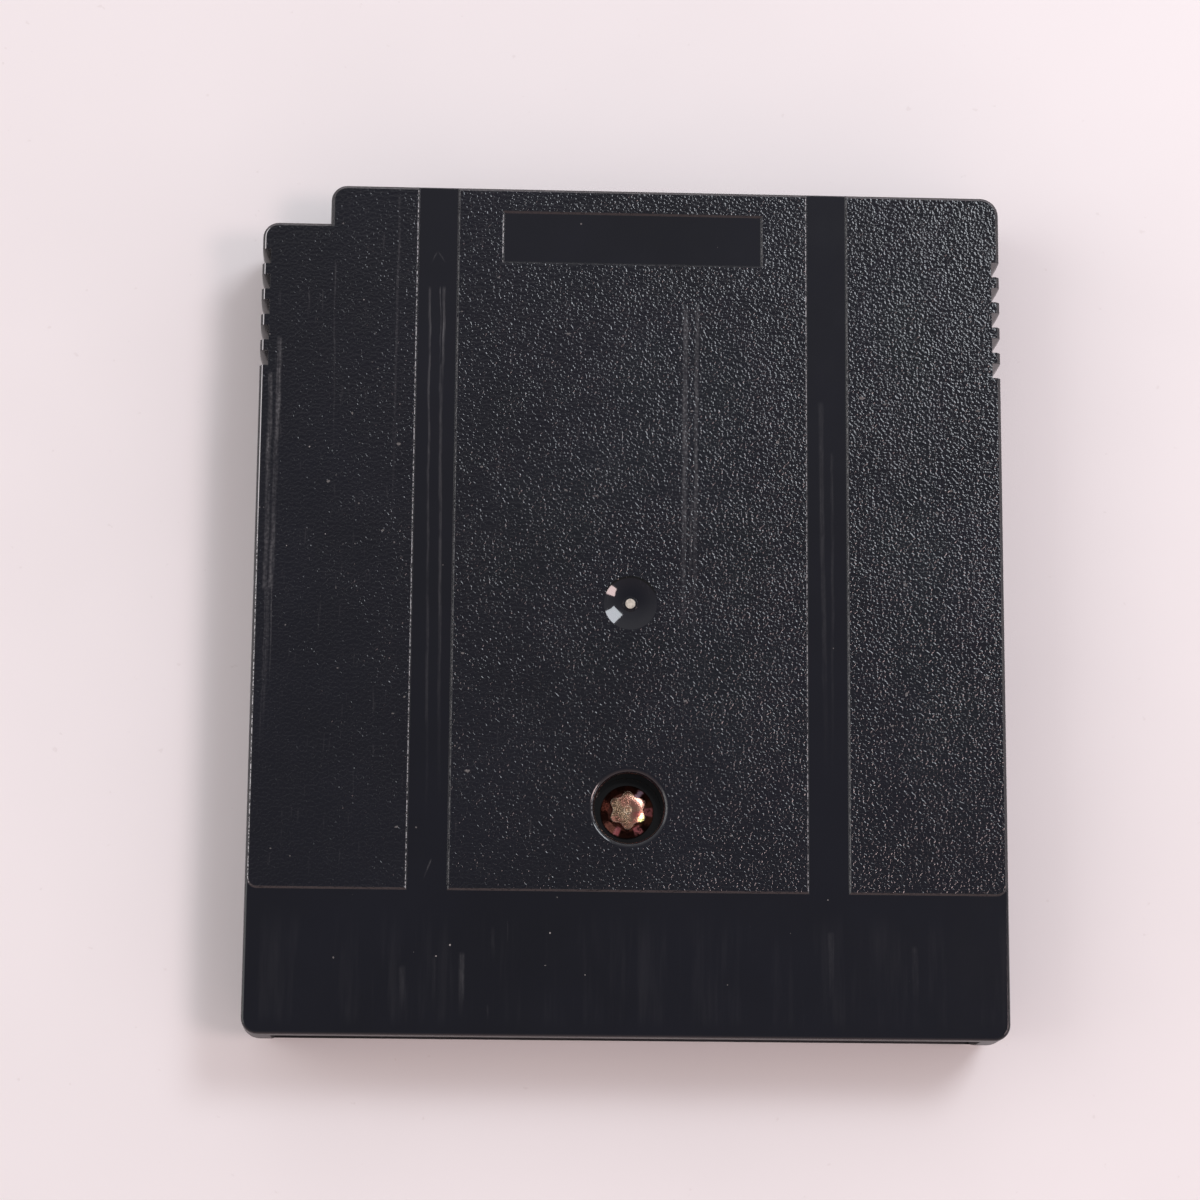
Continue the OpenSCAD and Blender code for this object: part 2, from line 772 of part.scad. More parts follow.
// The lobed driving head from z0 up to z1, its top rounded off towards the lobes
module driving_head(z0, z1) {
    rim_angle = asin((lobe_r + bite - lobe_flat_r) / lobe_dome_r);
    intersection() {
        translate([0, 0, z0])
            linear_extrude(z1 - z0)
                polygon(lobe_outline());
        rotate_extrude()
            polygon(concat(
                [[0, z1], [0, z0], [lobe_r + bite, z0]],
                [for (i = [corner_steps:-1:0])
                    let (a = rim_angle * i / corner_steps)
                    [lobe_flat_r + lobe_dome_r * sin(a), z1 - lobe_dome_r * (1 - cos(a))]]
            ));
    }
}

// Screw with a flange and a lobed head, dimpled in the middle
module shell_screw() {
    head_z = flange_z + flange_t;
    head_top = head_z + lobe_h;
    dimple_ball_r = (dimple_r * dimple_r + dimple_depth * dimple_depth) / (2 * dimple_depth);
    color("#c8ac62")
        translate([0, screw_y, 0])
            difference() {
                union() {
                    rotate_extrude()
                        polygon([
                            [0, flange_z - shank_l],
                            [shank_r / 2, flange_z - shank_l],
                            [shank_r, flange_z - shank_l + shank_r / 2],
                            [shank_r, flange_z],
                            [flange_r, flange_z],
                            [flange_r, flange_z + flange_rim_t],
                            [lobe_r, head_z],
                            [0, head_z]
                        ]);
                    driving_head(head_z - bite, head_top);
                }
                translate([0, 0, head_top - dimple_depth + dimple_ball_r])
                    sphere(r = dimple_ball_r);
            }
}

module circuit_board() {
    mid_y = (board_y0 + board_y1) / 2;
    color(board_color)
        difference() {
            translate([0, mid_y, board_z])
                linear_extrude(board_t)
                    polygon(round_rect(2 * board_half, board_l, inner_corner_r));
            rod(0, screw_y, post_r + post_gap, board_z - bite, board_top + bite);
            both_sides()
                rod(board_half - pin_inset, board_y1 - pin_inset, pin_r + lap_gap,
                    board_z - bite, board_top + bite);
        }
}

module edge_contacts() {
    color(gold_color)
        for (i = [0:contact_count - 1])
            translate([(i - (contact_count - 1) / 2) * contact_pitch - contact_w / 2,
                board_y0 + contact_inset, board_top])
                cube([contact_w, contact_l, contact_t]);
}

// Moulded body of a chip, widest at its leads, with a round mark beside its first lead
module chip_body(l, w, t, lean) {
    low = chip_standoff;
    top = chip_standoff + t;
    mid = (low + top) / 2;
    mark_r = w / 18;
    function side(half) = [
        [lean - half, low], [half - lean, low], [half, mid - lead_t / 2], [half, mid + lead_t / 2],
        [half - lean, top], [lean - half, top], [-half, mid + lead_t / 2], [-half, mid - lead_t / 2]
    ];
    difference() {
        intersection() {
            along_x(side(w / 2), -l / 2, l / 2);
            along_y(side(l / 2), -w / 2, w / 2);
        }
        rod(-l / 2 + 4 * mark_r, -w / 2 + 4 * mark_r, mark_r, top - lead_t / 2, top + bite);
    }
}

// Two rows of leads that bend down from the middle of a chip's sides to the board
module chip_leads(count, pitch, w, span, t) {
    mid = chip_standoff + t / 2;
    foot = span / 2 - (span - w) / 4;
    profile = [
        [w / 2, mid - lead_t / 2], [foot - lead_t, mid - lead_t / 2], [foot, 0], [span / 2, 0],
        [span / 2, lead_t], [foot + lead_t / 2, lead_t], [foot, mid + lead_t / 2], [w / 2, mid + lead_t / 2]
    ];
    for (turn = [0, 180])
        rotate([0, 0, turn])
            for (i = [0:count - 1])
                let (x = (i - (count - 1) / 2) * pitch)
                along_x(profile, x - lead_w / 2, x + lead_w / 2);
}

module memory_chip() {
    color(chip_color)
        translate([rom_x, rom_y, board_top])
            chip_body(rom_l, rom_w, chip_t, chip_lean);
}

module memory_chip_leads() {
    color(lead_color)
        translate([rom_x, rom_y, board_top])
            chip_leads(rom_lead_count, lead_pitch, rom_w, rom_span, chip_t);
}

module mapper_chip() {
    color(chip_color)
        translate([mapper_x, mapper_y, board_top])
            chip_body(mapper_l, mapper_w, chip_t, chip_lean);
}

module mapper_chip_leads() {
    color(lead_color)
        translate([mapper_x, mapper_y, board_top])
            chip_leads(mapper_lead_count, lead_pitch, mapper_w, mapper_span, chip_t);
}

module save_chip() {
    color(chip_color)
        translate([save_x, save_y, board_top])
            chip_body(save_l, save_w, chip_t, chip_lean);
}

module save_chip_leads() {
    color(lead_color)
        translate([save_x, save_y, board_top])
            chip_leads(save_lead_count, lead_pitch, save_w, save_span, chip_t);
}

module supervisor_chip() {
    color(chip_color)
        translate([guard_x, middle_row_y, board_top])
            chip_body(guard_l, guard_w, guard_t, chip_lean);
}

module supervisor_chip_leads() {
    color(lead_color)
        translate([guard_x, middle_row_y, board_top])
            chip_leads(guard_lead_count, lead_pitch, guard_w, guard_span, guard_t);
}

// Flat cell with its smaller pole down and a rounded can
module backup_cell() {
    pole_r = cell_r - cell_rim;
    step = cell_edge_r / 2;
    color("#c3c6ca")
        translate([cell_x, cell_y, cell_z])
            rotate_extrude()
                polygon(concat(
                    [[0, 0], [pole_r, 0], [pole_r + step, step], [cell_r - step, step], [cell_r, 2 * step]],
                    arc([cell_r - cell_edge_r, cell_t - cell_edge_r], cell_edge_r, 0, 90, corner_steps),
                    [[0, cell_t]]
                ));
}

module cell_upper_tab() {
    x = cell_x - cell_r / 3;
    top = cell_z + cell_t;
    leg_y = cell_y - cell_r - tab_gap;
    color(lead_color)
        along_x([
            [cell_y, top],
            [cell_y, top + tab_t],
            [leg_y - tab_t, top + tab_t],
            [leg_y - tab_t, board_top + tab_t],
            [leg_y - tab_foot, board_top + tab_t],
            [leg_y - tab_foot, board_top],
            [leg_y, board_top],
            [leg_y, top]
        ], x - tab_w / 2, x + tab_w / 2);
}

module cell_lower_tab() {
    x = cell_x + cell_r / 3;
    color(lead_color)
        block(x - tab_w / 2, x + tab_w / 2, cell_y - cell_r - tab_gap - tab_foot, cell_y,
            board_top, board_top + tab_t);
}

// A small part soldered flat on the board, its two metal ends slightly thicker than its middle
module small_part(x, y, t) {
    middle_half = small_w / 2 - small_skin;
    translate([x, y, board_top]) {
        block(-middle_half, middle_half, (small_cap - small_l) / 2, (small_l - small_cap) / 2,
            small_skin, t - small_skin);
        for (turn = [0, 180])
            rotate([0, 0, turn])
                block(-small_w / 2, small_w / 2, small_l / 2 - small_cap, small_l / 2, 0, t);
    }
}

module ceramic_capacitors() {
    color("#b08a62") {
        for (i = [0:capacitor_count - 1])
            small_part(small_x + i * small_pitch, middle_row_y, capacitor_t);
        for (side = [-1, 1])
            small_part(side * (boss_r + small_pitch), screw_y - small_l, capacitor_t);
    }
}

module chip_resistors() {
    color("#26262a")
        for (i = [0:resistor_count - 1])
            small_part(small_x + (capacitor_count + i) * small_pitch, middle_row_y, resistor_t);
}

module blocking_diode() {
    color(chip_color)
        translate([diode_x, middle_row_y, board_top])
            chip_body(diode_l, diode_w, diode_t, chip_lean);
}

// Two leads on one side of the diode and one on the other
module blocking_diode_leads() {
    color(lead_color)
        translate([diode_x, middle_row_y, board_top]) {
            intersection() {
                chip_leads(2, diode_pitch, diode_w, diode_span, diode_t);
                block(-diode_l, diode_l, 0, diode_span, -bite, diode_t + bite);
            }
            intersection() {
                chip_leads(1, 0, diode_w, diode_span, diode_t);
                block(-diode_l, diode_l, -diode_span, 0, -bite, diode_t + bite);
            }
        }
}

rear_shell();
front_shell();
front_label();
shell_screw();
circuit_board();
edge_contacts();
memory_chip();
memory_chip_leads();
mapper_chip();
mapper_chip_leads();
save_chip();
save_chip_leads();
supervisor_chip();
supervisor_chip_leads();
backup_cell();
cell_upper_tab();
cell_lower_tab();
ceramic_capacitors();
chip_resistors();
blocking_diode();
blocking_diode_leads();
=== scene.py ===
import math

import bpy
from bpy.props import (
    FloatProperty,
    FloatVectorProperty,
    IntProperty,
    PointerProperty,
)
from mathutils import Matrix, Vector


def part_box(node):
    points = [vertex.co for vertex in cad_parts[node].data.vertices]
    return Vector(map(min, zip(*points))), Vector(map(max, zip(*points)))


bl_info = {
    "name": "Game Cartridge Finishes",
    "version": (1, 0, 0),
    "blender": (4, 5, 0),
    "location": "3D View > Sidebar > Cartridge",
    "description": "Finishes, studio stage and camera for a game cartridge lying on its front",
    "category": "Material",
}

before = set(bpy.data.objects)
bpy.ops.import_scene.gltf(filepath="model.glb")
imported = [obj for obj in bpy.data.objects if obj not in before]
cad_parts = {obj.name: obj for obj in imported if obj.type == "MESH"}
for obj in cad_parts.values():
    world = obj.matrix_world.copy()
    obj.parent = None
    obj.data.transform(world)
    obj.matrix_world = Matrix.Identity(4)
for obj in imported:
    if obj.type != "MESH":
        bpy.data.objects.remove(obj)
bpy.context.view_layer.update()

MM = 0.001
SHELLS = ("rear_shell", "front_shell")
CHIPS = ("memory_chip", "mapper_chip", "save_chip", "supervisor_chip")
LEADS = tuple(chip + "_leads" for chip in CHIPS) + ("blocking_diode_leads",)
TABS = ("cell_upper_tab", "cell_lower_tab")
BLACK = (0.0, 0.0, 0.0)

# Places on the case's back, in millimetres in the shared frame
SCREW_AXIS = (0.0, -15.4)
BORE_RIM_R = 3.0
DISH_AXIS = (0.0, 0.0)
DISH_R = 2.0
STUB_R = 0.38
PANEL_H = 0.15
PANEL_END_Y = -21.7
MOUTH_Y = -32.5
BAND_REACH_X = 17.0
SIDE_RIM_X = 27.5
GRIP_FLOOR_X = 26.0
GRIP_START_Y = 17.7
GRIP_END_Y = 28.1

# The screw's spots of colour, and its head's height, radius, lobes and rounding
SCREW_RED_SPOT = (0.65, -15.65)
SCREW_GREEN_SPOT = (1.05, -16.1)
SCREW_PINK_SPOT = (0.85, -14.1)
SCREW_HEAD_H = 1.1
SCREW_HEAD_R = 1.3
SCREW_LOBES = 6.0
SCREW_ROUND = 0.09

# The label's border, its stripe's place along it, and both stripes' half widths
LABEL_BORDER = 1.5
STRIPE_SHARE = 0.24
STRIPE_HALF = 2.6
THIN_STRIPE_AWAY = 3.6
THIN_STRIPE_HALF = 0.3

# The board's tracks, which fan out to the contacts past FAN_Y, its vias and outlines
TRACK_W = 0.16
TRACK_RUN = 5.2
TRACK_PITCH = 1.3
FAN_Y = -19.0
VIA_PITCH = 3.4
VIA_R = 0.13
VIA_HOLE_R = 0.06
OUTLINE_GAP = 0.5
CONTACT_PITCH = 1.5
CONTACT_WORN_Y = -28.5
CONTACT_TIP_Y = -30.9

# How far the leads are bright with solder above the board, and where that ends
SOLDER_H = 0.2
SOLDER_END_H = 0.45

# The diode's cathode band, from its middle, and the small parts' ends and tinned caps
CATHODE_START = 0.8
CATHODE_END = 1.15
SMALL_PART_REACH = 1.0
CAP_START = 0.62

# The backup cell's gasket, from the cell's foot and axis, and its tabs' weld spots
GASKET_FOOT_H = 0.36
GASKET_TOP_H = 0.48
GASKET_R = 7.0
WELD_PITCH = 1.4
WELD_AWAY = 1.2
WELD_R = 0.42

# Each rub mark on the smooth bands, the contact end and the panels:
# start x and y, end x and y, width, all in millimetres, and strength from 0 to 1
RUB_MARKS = (
    (-15.5, 24.5, -15.2, -4.0, 0.26, 0.45),
    (-14.68, 24.5, -14.62, 17.0, 0.12, 0.5),
    (-14.4, 24.5, -14.4, 15.0, 0.3, 0.8),
    (-14.52, 18.5, -14.1, -18.0, 0.34, 0.35),
    (-15.3, 6.0, -15.0, -18.0, 0.3, 0.22),
    (-14.93, 27.24, -15.45, 26.2, 0.16, 0.3),
    (-14.93, 27.24, -14.31, 26.2, 0.16, 0.5),
    (-14.62, -19.3, -15.18, -20.94, 0.15, 0.6),
    (14.4, 16.0, 14.75, -14.7, 0.5, 0.2),
    (15.3, 12.0, 15.2, -14.7, 0.3, 0.14),
    (4.1, 23.3, 3.95, -7.5, 0.55, 0.75),
    (5.0, 23.6, 4.75, -7.5, 0.42, 0.65),
    (4.6, 8.5, 4.4, -2.0, 0.25, 0.35),
    (-17.92, 31.6, -18.0, 2.0, 0.26, 0.3),
    (-22.73, 26.3, -22.5, 8.0, 0.18, 0.3),
    (-24.67, 24.0, -24.6, 22.0, 0.14, 0.4),
    (-23.61, 24.0, -23.6, 21.5, 0.12, 0.4),
    (-26.79, 20.3, -26.95, 1.5, 0.5, 0.8),
    (-27.42, 17.5, -27.4, 0.5, 0.46, 0.75),
    (-26.95, 0.5, -26.85, 12.0, 0.5, 0.62),
    (-27.38, 0.5, -27.38, 14.0, 0.5, 0.62),
    (-27.1, 1.5, -27.3, -12.0, 0.4, 0.3),
    (-26.88, 4.0, -26.85, -8.0, 0.14, 0.7),
    (-27.28, 4.0, -27.5, -14.0, 0.16, 0.45),
    (-16.6, -27.1, -16.5, -31.4, 0.7, 0.13),
    (-14.3, -26.4, -14.2, -30.9, 0.4, 0.09),
    (-12.27, -26.1, -12.2, -31.3, 0.55, 0.33),
    (-9.97, -24.2, -9.9, -27.2, 0.4, 0.08),
    (-8.94, -23.7, -8.9, -25.9, 0.12, 0.16),
    (-10.3, -29.9, -10.3, -31.4, 0.2, 0.1),
    (15.0, -24.3, 15.1, -30.3, 0.7, 0.14),
    (21.2, -25.3, 21.3, -30.9, 0.6, 0.12),
)

# Pale specks that lie on the case, each x, y and radius in millimetres
SPECKS = (
    (-13.12, -25.68, 0.09),
    (-14.13, -26.5, 0.07),
    (-5.77, -24.72, 0.08),
    (-3.16, -27.77, 0.05),
    (14.8, -22.07, 0.05),
    (-24.34, 11.65, 0.07),
    (-25.87, 4.01, 0.05),
    (-22.99, 4.95, 0.05),
    (-20.5, 23.2, 0.06),
)


def node_span(node):
    """The lowest and highest corner of a CAD node, in millimetres."""
    low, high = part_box(node)
    return low / MM, high / MM


def shade(colour, share):
    """The colour, darker or lighter by a share."""
    return [part * share for part in colour]


class Nodes:
    """A node tree, emptied and then built a node at a time."""

    def __init__(self, tree):
        self.tree = tree
        tree.nodes.clear()

    def node(self, kind, feeds, output=0, **settings):
        """Adds a node, sets it, feeds its sockets and returns one of its outputs."""
        made = self.tree.nodes.new("ShaderNode" + kind)
        for setting, value in settings.items():
            setattr(made, setting, value)
        for socket, value in feeds.items():
            self.feed(made.inputs[socket], value)
        return made.outputs[output]

    def feed(self, socket, value):
        """Links an output to a socket, or sets the socket's own number or colour."""
        if isinstance(value, bpy.types.NodeSocket):
            self.tree.links.new(value, socket)
        elif socket.type == "RGBA":
            socket.default_value = (*value[:3], 1.0)
        else:
            socket.default_value = value

    def end_with(self, kind, shader):
        """Links the shader to the tree's output."""
        output = self.tree.nodes.new("ShaderNode" + kind)
        self.tree.links.new(shader, output.inputs["Surface"])

    def parts(self, vector):
        """The three parts of a vector."""
        made = self.tree.nodes.new("ShaderNodeSeparateXYZ")
        self.tree.links.new(vector, made.inputs[0])
        return tuple(made.outputs)

    def math(self, operation, *values):
        """The result of one sum on one to three values."""
        return self.node("Math", dict(enumerate(values)), operation=operation)

    def ramp(self, value, start, end, low=0.0, high=1.0, shape="SMOOTHSTEP"):
        """A step of the value from low at start to high at end, soft unless its shape is linear."""
        feeds = {0: value, 1: start, 2: end, 3: low, 4: high}
        return self.node("MapRange", feeds, interpolation_type=shape)

    def blend(self, share, first, second):
        """A number between the first and the second."""
        return self.node("Mix", {0: share, 2: first, 3: second}, data_type="FLOAT")

    def tint(self, share, first, second):
        """A colour between the first and the second."""
        feeds = {0: share, 6: first, 7: second}
        return self.node("Mix", feeds, output=2, data_type="RGBA")


class Finish(Nodes):
    """One material. Its patterns are read in millimetres in the shared frame."""

    def __init__(self, name):
        self.material = bpy.data.materials.new(name)
        self.material.use_nodes = True
        super().__init__(self.material.node_tree)
        self.shader = self.tree.nodes.new("ShaderNodeBsdfPrincipled")
        self.end_with("OutputMaterial", self.shader.outputs[0])
        place = self.node("TexCoord", {}, output="Object")
        self.mm = self.node("VectorMath", {0: place, "Scale": 1 / MM}, operation="SCALE")
        self.x, self.y, self.z = self.parts(self.mm)

    def both(self, *masks):
        """Where all the masks hold."""
        result = masks[0]
        for mask in masks[1:]:
            result = self.math("MULTIPLY", result, mask)
        return result

    def either(self, *masks):
        """Where any of the masks holds."""
        result = masks[0]
        for mask in masks[1:]:
            result = self.math("MAXIMUM", result, mask)
        return result

    def unless(self, mask):
        """Where the mask doesn't hold."""
        return self.math("SUBTRACT", 1.0, mask)

    def noise(self, size, detail=2.0, roughness=0.5, vector=None, stretch=None):
        """Cloudy noise whose lumps are about size millimetres across, longer where stretched."""
        place = self.mm if vector is None else vector
        if stretch:
            place = self.node("VectorMath", {0: place, 1: stretch}, operation="MULTIPLY")
        feeds = {"Vector": place, "Scale": 1 / size, "Detail": detail, "Roughness": roughness}
        return self.node("TexNoise", feeds)

    def cells(self, size, output="Distance", **settings):
        """A pattern of cells about size millimetres across."""
        feeds = {"Vector": self.mm, "Scale": 1 / size}
        return self.node("TexVoronoi", feeds, output=output, **settings)

    def gap(self, value, centre):
        """How far a value lies from a centre, on either side."""
        return self.math("ABSOLUTE", self.math("SUBTRACT", value, centre))

    def away(self, centre):
        """The distance in the plane from an upright axis."""
        across = self.math("SUBTRACT", self.x, centre[0])
        along = self.math("SUBTRACT", self.y, centre[1])
        squares = self.math("MULTIPLY_ADD", across, across, self.math("MULTIPLY", along, along))
        return self.math("SQRT", squares)

    def outside_box(self, low, high):
        """How far a point lies outside an upright box, and below nought inside it."""
        gaps = []
        for part, start, end in zip((self.x, self.y), low, high):
            gap = self.gap(part, (start + end) / 2)
            gaps.append(self.math("SUBTRACT", gap, (end - start) / 2))
        return self.math("MAXIMUM", *gaps)

    def mark(self, across, x0, y0, x1, y1, width):
        """A rub mark that starts sharply at its first end and fades towards its second."""
        slant = (x1 - x0) / (y1 - y0)
        centre = self.math("MULTIPLY_ADD", self.y, slant, x0 - y0 * slant)
        return self.both(
            self.ramp(self.gap(across, centre), width / 2, width / 8),
            self.ramp(self.y, y0, y0 + math.copysign(0.4, y1 - y0)),
            self.ramp(self.y, y1, y0 + (y1 - y0) * 0.3),
        )

    def rounded(self, radius):
        """The normal with the sharp edges rounded off."""
        return self.node("Bevel", {"Radius": radius * MM}, samples=4)

    def edges(self, rounded):
        """Near 1 where the rounded normal leaves the flat face, and nought on the flats."""
        feeds = {0: self.facing(), 1: rounded}
        match = self.node("VectorMath", feeds, output="Value", operation="DOT_PRODUCT")
        return self.ramp(match, 0.995, 0.93)

    def facing(self):
        """The way each flat face points."""
        return self.node("NewGeometry", {}, output="True Normal")

    def bump(self, height, depth, strength=1.0, normal=None):
        """A normal shaped by a height of 0 to 1 over a depth in millimetres."""
        feeds = {"Height": height, "Distance": depth * MM, "Strength": strength}
        if normal is not None:
            feeds["Normal"] = normal
        return self.node("Bump", feeds)

    def dress(self, *nodes, **feeds):
        """Feeds the shader and puts the material on the CAD nodes or pieces."""
        for name, value in feeds.items():
            socket = name.replace("_", " ").title().replace("Ior", "IOR")
            self.feed(self.shader.inputs[socket], value)
        for piece in nodes:
            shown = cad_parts[piece] if isinstance(piece, str) else piece
            if not shown.material_slots:
                shown.data.materials.append(self.material)
            for slot in shown.material_slots:
                slot.material = self.material


def colour_property(name, description, default):
    """A colour a user may change, as scene-linear red, green and blue."""
    return FloatVectorProperty(
        name=name,
        description=description,
        default=default,
        subtype="COLOR",
        size=3,
        min=0.0,
        max=1.0,
    )


def share_property(name, description, default):
    """A plain number from nought to one."""
    return FloatProperty(
        name=name, description=description, default=default, min=0.0, max=1.0, subtype="FACTOR"
    )


def length_property(name, description, default):
    """A length, given in metres."""
    return FloatProperty(
        name=name, description=description, default=default, unit="LENGTH", precision=6
    )


def power_property(name, description, default):
    """A lamp's power, in watts."""
    return FloatProperty(name=name, description=description, default=default, unit="POWER")


def place_property(name, description, default):
    """A place in the shared frame, in metres."""
    return FloatVectorProperty(
        name=name, description=description, default=default, subtype="TRANSLATION"
    )


class CartridgeStage(bpy.types.PropertyGroup):
    """Floor, lamps and camera"""

    floor_side: length_property("Floor side", "Side of the square floor", 8.0)
    floor_colour: colour_property("Floor", "Colour of the table top", (0.915, 0.868, 0.875))
    speck_colour: colour_property("Floor specks", "Colour of its specks", (0.45, 0.36, 0.33))
    key_place: place_property("Key place", "Middle of the key softbox", (0.27, 0.27, 0.508))
    key_side: length_property("Key side", "Side of the key softbox", 0.19)
    key_power: power_property("Key power", "Power of the key softbox", 1.13)
    key_colour: colour_property("Key colour", "Colour of the key softbox", (0.9, 0.94, 1.0))
    lamp_place: place_property("Lamp place", "Middle of the small side lamp", (0.3, -0.073, 0.52))
    lamp_side: length_property("Lamp side", "Side of the small side lamp", 0.12)
    lamp_power: power_property("Lamp power", "Power of the side lamp", 0.6)
    lamp_colour: colour_property("Lamp colour", "Colour of the side lamp", (1.0, 0.76, 0.75))
    window_place: place_property("Window place", "Middle of the window light", (-0.6, 0.05, 0.42))
    window_side: length_property("Window side", "Side of the window light", 0.6)
    window_power: power_property("Window power", "Power of the window light", 1.45)
    window_colour: colour_property("Window colour", "Colour of its light", (1.0, 0.985, 0.97))
    overhead: colour_property("Overhead", "Room light from straight above", (0.185, 0.185, 0.2))
    horizon: colour_property("Horizon", "Room light from low down", (0.82, 0.81, 0.82))
    near_wall: colour_property("Near wall", "Room light from the near side", (0.95, 0.72, 0.69))
    far_wall: colour_property("Far wall", "Room light from the far side", (0.31, 0.31, 0.335))
    camera_place: place_property(
        "Camera place", "Where the camera stands", (-0.01103, -0.03915, 0.22910)
    )
    camera_axis: FloatVectorProperty(
        name="Camera turn",
        description="The camera's turn from looking straight down, about x, y and z",
        default=(math.radians(10.07), math.radians(-2.297), math.radians(0.6756)),
        subtype="AXISANGLE",
    )
    lens: FloatProperty(
        name="Lens", description="Focal length on a 36 mm frame", default=89.82, unit="CAMERA"
    )


class CartridgeCase(bpy.types.PropertyGroup):
    """The two shells' black plastic"""

    plastic: colour_property("Plastic", "Colour of the plastic", (0.0036, 0.0038, 0.0074))
    stub: colour_property("Gate stub", "Colour of the cut gate stub", (0.62, 0.58, 0.5))
    grain_size: length_property("Grain size", "Width of the grain's lumps", 0.00023)
    grain_depth: length_property("Grain depth", "Height of the grain's lumps", 0.000019)
    edge_round: length_property("Edge round", "Radius that catches the light on the edges", 0.00006)
    grain_gloss: share_property("Grain roughness", "Roughness of the grained panels", 0.12)
    smooth_gloss: share_property("Smooth roughness", "Roughness of the smooth bands", 0.12)
    dish_gloss: share_property("Dish roughness", "Roughness of the polished dish", 0.05)
    wall_gloss: share_property("Wall roughness", "Roughness of the side walls", 0.42)
    stub_gloss: share_property("Stub roughness", "Roughness of the cut gate stub", 0.6)
    ior: FloatProperty(name="IOR", description="Refractive index of the plastic", default=1.58)


class CartridgeWear(bpy.types.PropertyGroup):
    """Rubs, scuffs and dust, with the painted edge highlights"""

    # Also the colour of the pale edges, which are partly painted edge highlight
    rubbed: colour_property("Rubbed plastic", "Colour of the rubbed plastic", (0.11, 0.108, 0.115))
    # Colour of the painted highlight lines on the slanted rims
    painted_highlight_colour: colour_property("Burnished edge", "Colour of the palest edges", (0.6, 0.6, 0.62))
    # The pale edges are wear and partly painted edge highlight
    edge_share: share_property("Edge wear", "How far the edges have gone pale", 0.18)
    dust: colour_property("Dust colour", "Colour of the specks", (0.32, 0.3, 0.29))
    dust_share: share_property("Dust", "How strongly the scattered specks show", 0.4)


class CartridgeScrew(bpy.types.PropertyGroup):
    """The yellow-passivated screw"""

    gold: colour_property("Gold", "Main colour of the zinc", (0.5, 0.36, 0.24))
    pink: colour_property("Pink", "Pink parts of the zinc", (0.6, 0.22, 0.19))
    olive: colour_property("Olive", "Green parts of the zinc", (0.72, 0.8, 0.3))
    scribble: colour_property("Drive marks", "Dark marks on the head", (0.12, 0.075, 0.045))
    # The rim colour is a painted highlight along the head's edges
    rim: colour_property("Rim", "Colour of the head's pale edges", (1.0, 0.86, 0.68))
    # Flange and dull flange: the zinc's red, painted darker as shade from the bore
    flange: colour_property("Flange", "Main colour of the flange", (0.2, 0.07, 0.05))
    dull: colour_property("Dull flange", "Dull parts of the flange", (0.09, 0.035, 0.025))
    # Valleys and pale valley: painted light in the flange's patches
    valleys: colour_property("Valleys", "Bright patches on the flange", (1.0, 0.3, 0.32))
    pale_valley: colour_property("Pale valley", "The palest of them", (1.0, 0.75, 0.98))
    gloss: share_property("Roughness", "Roughness of the zinc", 0.2)


class CartridgeLabel(bpy.types.PropertyGroup):
    """The front label's print"""

    paper: colour_property("Paper", "Colour of the border", (0.66, 0.64, 0.58))
    upper: colour_property("Upper field", "Colour of the field at its upper end", (0.02, 0.12, 0.2))
    lower: colour_property("Lower field", "Colour of the field at its lower end", (0.42, 0.3, 0.1))
    stripe: colour_property("Stripe", "Colour of the stripe", (0.5, 0.06, 0.04))
    scuffed: colour_property("Scuffed border", "Colour of scuffed paper", (0.5, 0.48, 0.44))
    rubbed: colour_property("Rubbed print", "Colour of the rub marks", (0.75, 0.74, 0.7))
    coat: share_property("Film", "Weight of the clear film", 0.3)


class CartridgeBoard(bpy.types.PropertyGroup):
    """The circuit board and its contacts"""

    mask: colour_property("Solder mask", "Colour of the lacquer", (0.012, 0.085, 0.035))
    copper: colour_property("Tracks", "Colour of the tracks under the lacquer", (0.03, 0.16, 0.06))
    laminate: colour_property("Laminate", "Colour of the cut edge", (0.42, 0.33, 0.14))
    silk: colour_property("Outlines", "Colour of the printed outlines", (0.66, 0.66, 0.6))
    via: colour_property("Vias", "Colour of the rings around the vias", (0.55, 0.5, 0.4))
    hole: colour_property("Via holes", "Colour inside the vias", (0.01, 0.01, 0.01))
    gold: colour_property("Gold", "Colour of the contacts", (0.85, 0.6, 0.25))
    worn: colour_property("Worn tips", "Colour of the contacts' worn tips", (0.5, 0.47, 0.42))
    tarnish: colour_property("Tarnish", "Colour of the tarnished gold", (0.3, 0.16, 0.08))


class CartridgeParts(bpy.types.PropertyGroup):
    """The parts on the board"""

    epoxy: colour_property("Epoxy", "Colour of the chips", (0.014, 0.014, 0.016))
    cathode: colour_property("Cathode band", "Colour of the diode's band", (0.6, 0.6, 0.56))
    tin: colour_property("Tin", "Colour of the tinned leads", (0.62, 0.62, 0.6))
    solder: colour_property("Solder", "Colour of the leads' soldered feet", (0.75, 0.76, 0.76))
    steel: colour_property("Steel", "Colour of the backup cell", (0.66, 0.65, 0.62))
    smudge: colour_property("Smudges", "Colour of the smudges on it", (0.34, 0.33, 0.31))
    gasket: colour_property("Gasket", "Colour of the gasket around it", (0.05, 0.05, 0.05))
    weld: colour_property("Weld spots", "Colour of its tabs' weld spots", (0.2, 0.17, 0.14))
    ceramic: colour_property("Ceramic", "Colour of the capacitors", (0.32, 0.2, 0.1))
    glaze: colour_property("Glaze", "Colour of the resistors' top", (0.015, 0.015, 0.02))
    white: colour_property("White ceramic", "Colour of the resistors' body", (0.7, 0.7, 0.66))
    tab_welds: IntProperty(
        name="Tab weld spots", description="Weld spots across a tab", default=2, min=1, max=4
    )


# The lamps' names, and the start of each one's settings in the stage
SOFTBOXES = {"key_softbox": "key", "side_lamp": "lamp", "side_window": "window"}
SOFTBOX_PARTS = ("place", "side", "power", "colour")


def aim(lamp, target):
    """The turn that points a lamp at a place."""
    return (Vector(target) - Vector(lamp)).to_track_quat("-Z", "Y").to_euler()


